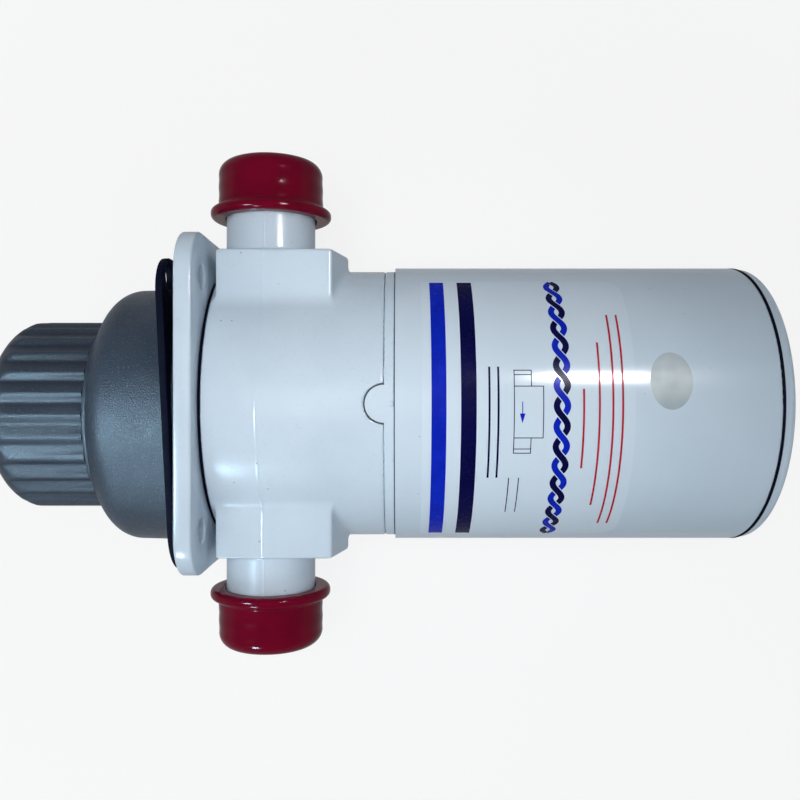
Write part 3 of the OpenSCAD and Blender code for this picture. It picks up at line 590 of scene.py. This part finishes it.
def pump_body_distance(points):
    """Distance of points to the outside of the pump body, less than zero inside its walls."""
    edge = 0.8
    fillet_size = 1.8
    neck_fillet = 1.0
    parting_rise = 0.1
    parting_half = 0.24
    lip = 0.5
    x, y, z = points.T
    out = np.abs(y)
    round_motor = np.hypot(y, z)
    along, across = x - port_x, z - port_z
    round_port = np.hypot(along, across)

    barrel = soft_max(round_motor - body_r, np.maximum(x_body - x, x - x_ring), edge)
    slope = np.array((block_half - block_flat, block_taper))
    slope /= np.linalg.norm(slope)
    rear = (along - block_rear + block_taper) * slope[0] + (np.abs(across) - block_half) * slope[1]
    block = soft_max(np.abs(across) - block_half, np.maximum(rear, along - block_rear), edge)
    block = soft_max(block, -along - block_front, edge)
    block = soft_max(block, out - block_reach, edge)
    spigot_r = np.where(out > thread_start, thread_root_r, port_r)
    spigot = soft_max(round_port - spigot_r, out - port_reach, edge)

    solid = soft_min(barrel, block, fillet_size)
    solid = soft_min(solid, spigot, neck_fillet)
    solid = solid - parting_rise * np.exp(-((along / parting_half) ** 2)) * (out < thread_start)

    cam_floor = chamber_r - cam_rise
    cam = np.maximum(np.abs(y) - cam_half - (z - cam_floor) / 2, cam_floor - z)
    chamber_half = port_x - x_chamber
    chamber = np.maximum(round_motor - chamber_r, np.abs(along) - chamber_half)
    notch = np.maximum(np.hypot(x - x_ring, y) - tab_r - tab_gap, tab_floor_z - z)
    cuts = [
        np.maximum(chamber, -cam),
        np.maximum(round_port - port_bore_r, port_reach - port_bore_len - out),
        np.maximum(round_port - waterway_r, chamber_r / 2 - out),
        np.maximum(round_motor - register_r - 2 * seat_fit, x - x_chamber),
        np.maximum(round_motor - shaft_clear_r, x_chamber - x),
        np.maximum(round_motor - seal_r - seat_fit, x_rinse_seal - x),
        np.maximum(round_motor - slinger_room_r, x_rinse_seal_end - x),
        np.maximum(round_motor - bell_register_r - seat_fit, x_bell - x),
        np.maximum(np.hypot(x - weep_x, y) - weep_r, z),
        notch,
    ]
    for angle in body_screw_angles:
        turn = math.radians(angle)
        screw_y, screw_z = body_screw_circle_r * math.cos(turn), body_screw_circle_r * math.sin(turn)
        cuts.append(np.hypot(y - screw_y, z - screw_z) - body_screw_r - seat_fit)
    for taken in cuts:
        solid = soft_max(solid, -taken, lip)
    return solid


def make_pump_body():
    """Mesh of the pump body, finer at its edges, its parting line and the tab's notch."""
    margin = 1.5
    coarse, fine = 0.9, 0.42
    finest = 0.16
    near_line = 1.0
    x_zones = [(x_body - margin, x_body + margin), (x_ring - tab_r - margin, x_ring + margin)]
    x_zones.append((port_x + block_rear - block_taper, port_x + block_rear + margin))
    y_zones = [(-tab_r - margin, tab_r + margin)]
    for side in (-1, 1):
        for place in (block_reach, port_reach):
            y_zones.append((side * place - margin, side * place + margin))
    line = np.arange(port_x - near_line, port_x + near_line, finest)
    x_axis = graded(x_body - margin, x_ring + margin, coarse, fine, x_zones)
    x_axis = np.sort(np.concatenate([x_axis[np.abs(x_axis - port_x) > near_line + finest], line]))
    y_axis = graded(-port_reach - margin, port_reach + margin, coarse, fine, y_zones)
    z_zones = [(port_z + block_half - margin, port_z + block_half + margin)]
    z_axis = graded(-body_r - margin, body_r + margin, coarse, fine, z_zones)
    vertices, faces = surface_net(pump_body_distance, (x_axis, y_axis, z_axis))
    add_piece("pump_body_moulding", vertices.tolist(), faces.tolist(), materials["white_body"],
              stands_for=("pump_body",), sharp=32)


def make_spigot_thread(name, side):
    """Thread sleeve that stands on a spigot under its cap."""
    steps = 8
    segments = 96
    buried, inset = 1.0, 0.2
    run_out = 1.5
    skin = 0.03
    crest, flank = 1.25, 2.5
    rows = int((thread_end - thread_start) / thread_pitch * steps)
    heights = np.linspace(thread_start, thread_end, rows)
    loop = [(thread_root_r, h) for h in heights]
    loop += [(thread_root_r - buried, thread_end - inset), (thread_root_r - buried, thread_start + inset)]

    def shape(radius, angle, height):
        if radius < thread_root_r:
            return radius
        turn = (height / thread_pitch - side * angle / (2 * math.pi)) % 1
        ridge = min(1, max(0, crest - flank * abs(turn - 0.5)))
        fade = min(1, (height - thread_start) / run_out, (thread_end - height) / run_out)
        return radius + skin + (thread_depth - skin) * ridge * max(0, fade)

    vertices, faces = lathe(loop, round_port_axis(side), segments, shape)
    add_piece(name, vertices, faces, materials["white_body"], sharp=50)


def make_cap(name, side):
    """Dipped vinyl cap with a rolled rim, slightly out of round."""
    height = cap_end - cap_start
    wall = cap_r - cap_bore_r
    neck = 0.7
    mouth_round, bead_round, neck_round = 0.5, 1.38, 0.9
    draft, dish = 0.1, 0.25
    spacing, segments = 0.6, 120
    hub_r = 0.5
    oval, lobes, rim_swell, rim_reach = 0.05, 0.035, 0.08, 3
    wave_depth, wave_from, wave_len = 0.055, 0.9, 4.7
    wall_skin, bead_gap = 0.3, 0.2
    corners = [
        (cap_bore_r, 0, mouth_round),
        (cap_rim_r, 0, bead_round),
        (cap_rim_r, cap_bead, bead_round),
        (cap_r, cap_bead + neck, neck_round),
        (cap_r - draft, height, cap_round),
        (0, height - dish, 0),
        (0, height - wall, 0),
        (cap_bore_r, height - wall, cap_round - wall),
    ]
    loop = []
    dense = fillet(corners, steps=10)
    for (r0, h0), (r1, h1) in zip(dense, dense[1:] + dense[:1]):
        pieces = max(1, round(math.hypot(r1 - r0, h1 - h0) / spacing))
        loop += [(r0 + (r1 - r0) * k / pieces, h0 + (h1 - h0) * k / pieces) for k in range(pieces)]

    def shape(radius, angle, at):
        if radius < hub_r:
            return radius
        soft = oval * math.sin(2 * angle + side) + lobes * math.sin(5 * angle + 1.3 * side + at / 4)
        rim = math.exp(-((at / rim_reach) ** 2))
        swell = rim_swell * math.sin(3 * angle + 2 * side) * rim
        on_wall = radius > cap_r - wall_skin and cap_bead + bead_gap < at < height - cap_round
        turn = 2 * math.pi * (at - cap_bead - wave_from) / wave_len
        wave = wave_depth * math.sin(turn) if on_wall else 0
        return radius + soft * min(1, radius / cap_bore_r) + swell + wave

    place = round_port_axis(side)
    vertices, faces = lathe([(r, h + cap_start) for r, h in loop], place, segments,
                            lambda r, a, h: shape(r, a, h - cap_start))
    add_piece(name + "_vinyl", vertices, faces, materials["red_vinyl"], body=name,
              stands_for=(name,), sharp=60)


# Flat plates with rounded edges

def square_outline(half, corner, centre_y=0.0, steps=10):
    """Function that gives a square with round corners, drawn in by an inset, as (y, z) points."""
    def outline(inset):
        points = []
        reach, radius = half - inset, corner - inset
        for quarter in range(4):
            for k in range(steps + 1):
                angle = math.pi / 2 * (quarter + k / steps)
                base = math.pi / 2 * quarter + math.pi / 4
                corner_y = math.copysign(reach - radius, math.cos(base))
                corner_z = math.copysign(reach - radius, math.sin(base))
                points.append((centre_y + corner_y + radius * math.cos(angle),
                               corner_z + radius * math.sin(angle)))
        return points
    return outline


def hole_outline(y, z, radius, segments=48):
    """Function that gives a round hole, widened by an inset, as (y, z) points."""
    def outline(inset):
        angles = [-2 * math.pi * k / segments for k in range(segments)]
        reach = radius + inset
        return [(y + reach * math.cos(a), z + reach * math.sin(a)) for a in angles]
    return outline


def bolt_holes(radius):
    """Outlines of the four bolt holes."""
    return [hole_outline(y, z, radius) for y in (-bolt_half, bolt_half) for z in (-bolt_half, bolt_half)]


def plate_mesh(name, outlines, x_from, x_to, bevel, steps=4):
    """Mesh of a plate across X with quarter-round edges, in metres."""
    levels = []
    for k in range(steps + 1):
        turn = math.pi / 2 * k / steps
        levels.append((bevel * (1 - math.sin(turn)), x_from + bevel * (1 - math.cos(turn))))
    levels += [(inset, x_from + x_to - x) for inset, x in reversed(levels)]
    work = bmesh.new()
    faces_of_ends = [[], []]
    for outline in outlines:
        rings = []
        for inset, x in levels:
            rings.append([work.verts.new((x * MM, y * MM, z * MM)) for y, z in outline(inset)])
        for one, two in zip(rings, rings[1:]):
            for k in range(len(one)):
                n = (k + 1) % len(one)
                work.faces.new((one[k], one[n], two[n], two[k]))
        for end, ring in zip(faces_of_ends, (rings[0], rings[-1])):
            end += [work.edges.get((ring[k], ring[(k + 1) % len(ring)])) for k in range(len(ring))]
    for edges in faces_of_ends:
        bmesh.ops.triangle_fill(work, edges=edges, use_beauty=True)
    mesh = bpy.data.meshes.new(name)
    work.to_mesh(mesh)
    work.free()
    return mesh


def make_flange():
    """Square flange plate with rounded edges, and the register boss behind it."""
    bevel = 0.7
    boss_sink, boss_edge = 0.8, 0.3
    web, web_edge = 1.6, 0.2
    segments = 96
    outlines = [square_outline(flange_half, flange_corner)] + bolt_holes(bolt_hole_r)
    outlines.append(hole_outline(0, 0, seal_r + seat_fit))
    plate = plate_mesh("flange_plate", outlines, 0, x_flange_back, bevel)
    shoulder = x_wear_plate - web
    loop = fillet([
        (seal_r + seat_fit, x_flange_back - boss_sink, 0),
        (register_r + seat_fit, x_flange_back - boss_sink, 0),
        (register_r + seat_fit, x_wear_plate, boss_edge),
        (shaft_clear_r, x_wear_plate, web_edge),
        (shaft_clear_r, shoulder, web_edge),
        (seal_r + seat_fit, shoulder, 0),
    ])
    vertices, faces = lathe(loop, round_motor_axis, segments)
    work = bmesh.new()
    work.from_mesh(plate)
    made = [work.verts.new(Vector(v) * MM) for v in vertices]
    for face in faces:
        work.faces.new([made[i] for i in face])
    work.to_mesh(plate)
    work.free()
    add_mesh("flange_moulding", plate, materials["white_body"], stands_for=("mounting_flange",))


def make_gasket():
    """Loose rubber gasket that leans off the flange and bows a little."""
    hinge_y = -gasket_drop - gasket_half
    bevel = 0.35
    spacing, lines = 4, 12
    bow, phase = 0.35, 0.7
    long_wave, short_wave, cross_wave = 11, 5, 17
    outlines = [square_outline(gasket_half, gasket_corner, -gasket_drop)] + bolt_holes(gasket_hole_r)
    outlines.append(hole_outline(wet_y, 0, housing_r + gasket_bore_spare, segments=96))
    mesh = plate_mesh("gasket", outlines, -gasket_t, 0, bevel)
    work = bmesh.new()
    work.from_mesh(mesh)
    for normal in ((0, 1, 0), (0, 0, 1)):
        for k in range(-lines, lines + 1):
            place = Vector(normal) * k * spacing * MM
            bmesh.ops.bisect_plane(work, geom=work.verts[:] + work.edges[:] + work.faces[:],
                                   plane_co=place, plane_no=normal, dist=WELD)
    for vertex in work.verts:
        x, y, z = vertex.co / MM
        rise = (y - hinge_y) / (2 * gasket_half)
        wave = 1 + math.sin(z / long_wave + phase) + 0.5 * math.sin(z / short_wave + y / cross_wave)
        x -= bow * rise * wave / 2
        turned_x = x * math.cos(gasket_lean) - (y - hinge_y) * math.sin(gasket_lean)
        turned_y = x * math.sin(gasket_lean) + (y - hinge_y) * math.cos(gasket_lean) + hinge_y
        vertex.co = Vector((turned_x, turned_y, z)) * MM
    work.to_mesh(mesh)
    work.free()
    add_mesh("gasket_rubber", mesh, materials["black_rubber"], stands_for=("flange_gasket",))


# Fluted intake collar

def flute_radius():
    """Radius over the flutes as a function of angle, its ridges and valleys slightly rounded."""
    per_flute = 24
    rounds = 2
    samples = flute_count * per_flute
    share = np.arange(samples) / per_flute % 1
    shares = [0, flute_valley, flute_knee, 1]
    depth = np.interp(share, shares, [0, flute_depth, flute_depth * flute_knee_share, 0])
    weights = np.array((1, 2, 1)) / 4
    for _ in range(rounds):
        depth = weights[0] * np.roll(depth, 1) + weights[1] * depth + weights[2] * np.roll(depth, -1)
    places, closed = np.arange(samples + 1), np.append(depth, depth[0])

    def radius(angle):
        place = angle / (2 * math.pi) * samples
        return collar_r - float(np.interp(place % samples, places, closed))
    return radius


def make_collar():
    """Collar whose flutes run out into its ring and its rounded end."""
    seat_edge, ring_edge, ring_root = 0.2, 0.35, 0.55
    run_out, mouth_edge, mouth_band = 0.5, 0.8, 1
    ridge, slack = 0.35, 1e-6
    per_flute = 12
    over_flutes = flute_radius()
    outer = collar_r + ridge_spare
    cone_len = collar_bore_r - mouth_r
    x_ring_end = x_collar - collar_ring_w
    x_seat = x_collar - collar_seat_len
    corners = [
        (collar_seat_r, x_collar, seat_edge),
        (collar_ring_r, x_collar, ring_edge),
        (collar_ring_r, x_ring_end, ring_root),
        (outer - flute_depth, x_ring_end, 0),
        (outer, x_ring_end - run_out, 0),
        (outer, x_mouth, collar_round),
        (mouth_r, x_mouth, mouth_edge),
        (mouth_r, x_mouth + mouth_lip, 0),
        (collar_bore_r, x_mouth + mouth_lip + cone_len, 0),
        (collar_bore_r, x_seat, 0),
        (collar_seat_r, x_seat, 0),
    ]
    dense = fillet(corners, steps=14)

    def shape(radius, angle, height):
        fluted = height < x_ring_end + slack and radius > mouth_r + mouth_band
        inside = radius <= collar_seat_r and height > x_mouth + collar_round
        if not fluted or inside:
            return radius
        return float(soft_min(np.float64(radius), np.float64(over_flutes(angle)), ridge))

    vertices, faces = lathe(dense, round_wet_axis, flute_count * per_flute, shape)
    add_piece("collar_moulding", vertices, faces, valley_shaded_collar,
              stands_for=("intake_collar",), sharp=35)


# Printed label and sticker: thin films that follow the cover

def on_cover(x, arc, lift):
    """Point on the cover in metres, from X and the arc from its middle towards the inlet in millimetres."""
    angle = arc / cover_r
    radius = cover_r + lift
    return Vector((x, radius * math.sin(angle), radius * math.cos(angle))) * MM


def film_piece(name, loops, lift, thickness, material):
    """Closed thin film on the cover, from flat (x, arc) outlines, all filled as separate patches."""
    spacing, on_line = 1.5, 1e-5
    work = bmesh.new()
    for loop in loops:
        corners = [work.verts.new((x, arc, 0)) for x, arc in loop]
        edges = [work.edges.new((corners[k - 1], corners[k])) for k in range(len(corners))]
        bmesh.ops.triangle_fill(work, edges=edges, use_beauty=True)
    arcs = [v.co.y for v in work.verts]
    for k in range(math.ceil(min(arcs) / spacing), math.floor(max(arcs) / spacing) + 1):
        bmesh.ops.bisect_plane(work, geom=work.verts[:] + work.edges[:] + work.faces[:],
                               plane_co=(0, k * spacing, 0), plane_no=(0, 1, 0), dist=on_line)
    raised = bmesh.ops.extrude_face_region(work, geom=work.faces[:], use_keep_orig=True)["geom"]
    for part in raised:
        if isinstance(part, bmesh.types.BMVert):
            part.co.z = thickness
    for vertex in work.verts:
        vertex.co = on_cover(vertex.co.x, vertex.co.y, lift + vertex.co.z)
    mesh = bpy.data.meshes.new(name)
    work.to_mesh(mesh)
    work.free()
    add_mesh(name, mesh, material)


def ribbon(path, width):
    """Outline of a ribbon of even width along a path of (x, arc) points."""
    path = np.array(path, float)
    heading = np.gradient(path, axis=0)
    heading /= np.linalg.norm(heading, axis=1)[:, None]
    side = np.stack([-heading[:, 1], heading[:, 0]], axis=1) * width / 2
    return np.concatenate([path + side, (path - side)[::-1]]).tolist()


def box_loop(x0, x1, arc0, arc1):
    """Outline of a flat rectangle."""
    return [(x0, arc0), (x1, arc0), (x1, arc1), (x0, arc1)]


def arc_at(degrees):
    """Arc length on the cover at an angle from its middle."""
    return math.radians(degrees) * cover_r


def make_label():
    """White film with two stripes, a rope border, a plain pump outline and thin rules."""
    bottom, top = arc_at(label_deg[0]), arc_at(label_deg[1])
    left, right = label_x
    corners = [
        (left, bottom, label_left_corner),
        (right, bottom, label_corner),
        (right, top, label_corner),
        (left, top, label_left_corner),
    ]
    film_piece("label_film", [fillet(corners, steps=12)], film_lift, film_t, film)
    ink_lift = film_t + ink_gap

    stripe_end = 0.8
    stripes = {"blue_stripe": (67.8, 71.8, blue_ink), "navy_stripe": (75.7, 79.85, navy_ink)}
    for name, (x0, x1, colour) in stripes.items():
        film_piece(name, [box_loop(x0, x1, bottom + stripe_end, top - stripe_end)], ink_lift, ink_t, colour)

    make_rope(ink_lift, bottom + stripe_end, top - stripe_end)
    make_outline(ink_lift)

    title_x, title_arcs = (83.0, 85.4), (-21, 10)
    rule = 0.55
    loops = [box_loop(x, x + rule, *title_arcs) for x in title_x]
    film_piece("title_rules", loops, ink_lift, ink_t, navy_ink)
    note_x, note_arcs = (88.9, 91.6), (-34, -21)
    loops = [box_loop(x, x + rule / 2, *note_arcs) for x in note_x]
    film_piece("note_rules", loops, ink_lift, ink_t, navy_ink)
    red_middle = -7
    red_rules = {108.2: 11, 112.4: 24, 116.0: 33, 118.6: 33}
    loops = [box_loop(x, x + rule, red_middle - reach, red_middle + reach) for x, reach in red_rules.items()]
    film_piece("red_rules", loops, ink_lift, ink_t, red_ink)


def make_rope(lift, bottom, top):
    """Two strands, blue and navy, twisted round each other along the label."""
    middle = 102.7
    swing = 1.5
    width = 1.7
    gap, layer_gap = 0.24, 0.005
    about_period = 10.9
    steps, short_steps = 12, 9
    half_turns = round((top - bottom) / about_period * 2)
    period = 2 * (top - bottom) / half_turns
    strands = {"blue": (1, blue_ink), "navy": (-1, navy_ink)}

    def path(sign, start, end, count):
        arcs = np.linspace(start, end, count)
        return [(middle + sign * swing * math.sin(2 * math.pi * (a - bottom) / period), a) for a in arcs]

    for name, (sign, colour) in strands.items():
        strip = ribbon(path(sign, bottom, top, half_turns * steps + 1), width)
        film_piece(f"rope_{name}", [strip], lift, ink_t, colour)
    over = {"blue": [], "navy": []}
    casing = []
    for k in range(half_turns + 1):
        crossing = bottom + k * period / 2
        reach = period / 6
        start, end = max(bottom, crossing - reach), min(top, crossing + reach)
        if end - start < reach / 2:
            continue
        name = "navy" if k % 2 == 0 else "blue"
        sign = strands[name][0]
        over[name].append(ribbon(path(sign, start, end, short_steps), width))
        middle_part = path(sign, start + reach / 4, end - reach / 4, short_steps)
        casing.append(ribbon(middle_part, width + 2 * gap))
    film_piece("rope_gaps", casing, lift + ink_t + layer_gap, ink_t / 2, film)
    for name, loops in over.items():
        film_piece(f"rope_over_{name}", loops, lift + ink_t * 1.5 + 2 * layer_gap, ink_t, strands[name][1])


def make_outline(lift):
    """Plain outline of a pump with two stubs on one side, and an arrow between them."""
    line = 0.24
    left, stub_right, right = 89.9, 94.5, 97.7
    bottom, top = -9.2, 4.7
    stub = 4.3
    band = 1.2
    arrow_x, arrow_top, arrow_tip = 92.1, 0.6, -5.2
    head_half, head_len = 0.75, 2.6
    loops = []

    def segment(*points):
        for start, end in zip(points, points[1:]):
            run = (np.array(end, float) - start) / math.dist(start, end) * line / 2
            ends = np.array(start) - run, np.array(end) + run
            loops.append(ribbon([ends[0], (ends[0] + ends[1]) / 2, ends[1]], line))

    segment((left, bottom), (left, top), (right, top), (right, bottom), (left, bottom))
    for edge, away in ((bottom, -1), (top, 1)):
        tip = edge + away * stub
        segment((left, edge), (left, tip), (stub_right, tip), (stub_right, edge))
        segment((left, tip - away * band), (stub_right, tip - away * band))
    film_piece("pump_outline", loops, lift, ink_t, navy_ink)
    head_top = arrow_tip + head_len
    tail = box_loop(arrow_x - line / 2, arrow_x + line / 2, head_top, arrow_top)
    head = [(arrow_x - head_half, head_top), (arrow_x + head_half, head_top), (arrow_x, arrow_tip)]
    film_piece("flow_arrow", [tail, head], lift, ink_t, blue_ink)


def make_sticker():
    """Blank silver oval near the cover's end."""
    centre_x, centre_arc = 132.0, 6.2
    half_x, half_arc = 5.65, 7.8
    thickness = 0.1
    segments = 72
    turns = [2 * math.pi * k / segments for k in range(segments)]
    oval = [(centre_x + half_x * math.cos(t), centre_arc + half_arc * math.sin(t)) for t in turns]
    film_piece("silver_sticker", [oval], film_lift, thickness, foil)


def make_ring_nub():
    """Small moulding mark on the end bell's ring."""
    radius, rise, sunk = 0.75, 0.28, 0.6
    edge, crown = 0.22, 0.05
    off_middle = 0.4
    segments = 32
    x = (x_ring + x_cover) / 2 + off_middle
    loop = fillet([(0, -sunk, 0), (radius, -sunk, 0), (radius, rise, edge), (0, rise + crown, 0)])

    def place(r, angle, height):
        return (x + r * math.cos(angle), r * math.sin(angle), body_r + height)

    vertices, faces = lathe(loop, place, segments)
    add_piece("ring_nub", vertices, faces, materials["white_body"])


def make_seam_shadow(name, radius, x_from, x_to):
    """Dark strip of painted shadow in the seam at one end of the cover, made with the black rubber material.
    """
    proud, deep = 0.03, 1.2
    segments = 192
    loop = [(radius - deep, x_from), (radius + proud, x_from), (radius + proud, x_to), (radius - deep, x_to)]
    vertices, faces = lathe(loop, round_motor_axis, segments)
    add_piece(name, vertices, faces, materials["black_rubber"])


make_pump_body()
for port, side in (("inlet", 1), ("outlet", -1)):
    make_spigot_thread(f"{port}_thread", side)
    make_cap(f"{port}_cap", side)
make_flange()
make_gasket()
make_collar()
make_label()
make_sticker()
make_ring_nub()
# Painted shadow: dark rings in the gaps at the cover's rear edge and at its front edge.
make_seam_shadow("cover_seam_shadow", cover_r, x_rim - end_seam_before, x_rim + end_seam_after)
make_seam_shadow("cover_front_seam_shadow", body_r, x_cover - front_seam_before, x_cover + front_seam_after)


# Stage: floor, lights and camera

def larger(tree, first, second):
    """Larger of two values."""
    return add_node(tree, "Math", {0: first, 1: second}, operation="MAXIMUM").outputs["Value"]


def on_camera_rays(tree):
    """Value of 1 where the camera sees the surface itself, and else 0."""
    return add_node(tree, "LightPath").outputs["Is Camera Ray"]


def on_mirrored_rays(tree):
    """Value of 1 where gloss or glass shows the surface, and else 0."""
    path = add_node(tree, "LightPath")
    return larger(tree, path.outputs["Is Glossy Ray"], path.outputs["Is Transmission Ray"])


def make_floor():
    """Pale floor that the flange's lower edge and the cover's rim rest on, fading to white far off."""
    size = 3.0
    clear = 0.05
    near_share, far_share = 0.83, 1.0
    fade_from, fade_to = 0.1, 0.45
    mirror_share = 0.4
    dim, pale = (0.32, 0.33, 0.35), (0.9, 0.9, 0.9)
    rest_a = Vector((x_flange_back, 0, -flange_half))
    rest_b = Vector((x_rim, 0, -cover_r))
    along = (rest_b - rest_a).normalized()
    across = Vector((0, 1, 0))
    centre = ((rest_a + rest_b) / 2 - Vector((0, 0, clear))) * MM
    mesh = bpy.data.meshes.new("floor")
    signs = ((-1, -1), (1, -1), (1, 1), (-1, 1))
    corners = [centre + (along * a + across * b) * size / 2 for a, b in signs]
    mesh.from_pydata(corners, [], [(0, 1, 2, 3)])
    made = bpy.data.materials.new("floor")
    made.use_nodes = True
    tree = made.node_tree
    tree.nodes.clear()
    tone = mix(tree, on_camera_rays(tree), rgba(dim), rgba(pale))
    matt = add_node(tree, "BsdfDiffuse", {"Color": tone}).outputs["BSDF"]
    white = add_node(tree, "Emission", {"Color": (1, 1, 1, 1), "Strength": 1.0}).outputs["Emission"]
    where = add_node(tree, "TexCoord").outputs["Object"]
    away = add_node(tree, "VectorMath", {0: where, 1: centre}, operation="DISTANCE").outputs["Value"]
    white_share = remap(tree, away, fade_from, fade_to, near_share, far_share)
    seen = times(tree, on_camera_rays(tree), white_share)
    mirrored = times(tree, on_mirrored_rays(tree), mirror_share)
    shown = add_node(tree, "MixShader", {0: larger(tree, seen, mirrored), 1: matt, 2: white})
    add_node(tree, "OutputMaterial", {"Surface": shown.outputs["Shader"]})
    mesh.materials.append(made)
    floor = bpy.data.objects.new("floor", mesh)
    bpy.context.scene.collection.objects.link(floor)


def make_world():
    """Dim room light, white to the eye, and white in reflections up to a little above the floor."""
    room_colour, room_light = (0.86, 0.93, 1.0), 0.3
    low_sky_light, low_sky_top = 0.4, 0.3
    world = bpy.data.worlds.new("studio")
    world.use_nodes = True
    tree = world.node_tree
    tree.nodes.clear()
    inputs = {"Color": rgba(room_colour), "Strength": room_light}
    ambient = add_node(tree, "Background", inputs).outputs["Background"]
    white = add_node(tree, "Background", {"Color": (1, 1, 1, 1), "Strength": 1.0}).outputs["Background"]
    direction = add_node(tree, "TexCoord").outputs["Generated"]
    height = add_node(tree, "SeparateXYZ", {"Vector": direction}).outputs["Z"]
    low_sky = remap(tree, height, 0, low_sky_top, low_sky_light, 0)
    mirrored = times(tree, on_mirrored_rays(tree), low_sky)
    share = larger(tree, on_camera_rays(tree), mirrored)
    shown = add_node(tree, "MixShader", {0: share, 1: ambient, 2: white})
    add_node(tree, "OutputWorld", {"Surface": shown.outputs["Shader"]})
    bpy.context.scene.world = world


def make_light(name, kind, gives, place, size, power, target, colour=(1.0, 1.0, 1.0)):
    """Lamp that gives diffuse or glossy light, turned to a target.

    Lengths are in metres, and an area has two of them. A spot fades out over its whole cone.
    """
    spot_angle = 57
    data = bpy.data.lights.new(name, kind)
    data.energy = power
    data.color = colour
    if kind == "SPOT":
        data.shadow_soft_size = size / 2
        data.spot_size = math.radians(spot_angle)
        data.spot_blend = 1.0
    else:
        data.shape = "RECTANGLE"
        data.size, data.size_y = size
    light = bpy.data.objects.new(name, data)
    light.location = place
    light.rotation_euler = (Vector(target) - Vector(place)).to_track_quat("-Z", "Y").to_euler()
    light.visible_diffuse = gives == "diffuse"
    light.visible_glossy = gives == "glossy"
    bpy.context.scene.collection.objects.link(light)


def make_camera():
    """Camera straight above the label side, as the photograph was taken."""
    data = bpy.data.cameras.new("camera")
    data.sensor_width = 36
    data.lens = 35.865
    data.clip_start = 0.01
    camera = bpy.data.objects.new("camera", data)
    camera.location = (0.0594, 0.001, 0.255)
    bpy.context.scene.collection.objects.link(camera)
    bpy.context.scene.camera = camera


middle = (cad_box[0] + cad_box[1]) / 2
make_floor()
make_world()
make_light("key", "SPOT", "diffuse", place=(0.02, 0.01, 0.36), size=0.16, power=2.75,
           target=(0.054, 0.002, 0.03))
make_light("fill", "AREA", "diffuse", place=(-0.1, -0.32, 0.25), size=(0.16, 0.16), power=0.32,
           target=middle, colour=(0.76, 0.91, 1.0))
make_light("lamp", "AREA", "glossy", place=(0.172, 0.091, 0.262), size=(0.06, 0.023), power=0.85,
           target=(0.172, 0.091, 0))
make_light("sheen", "AREA", "glossy", place=(-0.175, -0.06, 0.27), size=(0.1, 0.06), power=2.7,
           target=(-0.175, -0.06, 0), colour=(0.5, 0.78, 1.0))
make_light("glint", "AREA", "glossy", place=(-0.085, -0.26, 0.187), size=(0.05, 0.05), power=0.9,
           target=(-0.009, -0.02, 0.035), colour=(0.5, 0.78, 1.0))
make_camera()
bpy.context.scene.view_settings.view_transform = "Standard"
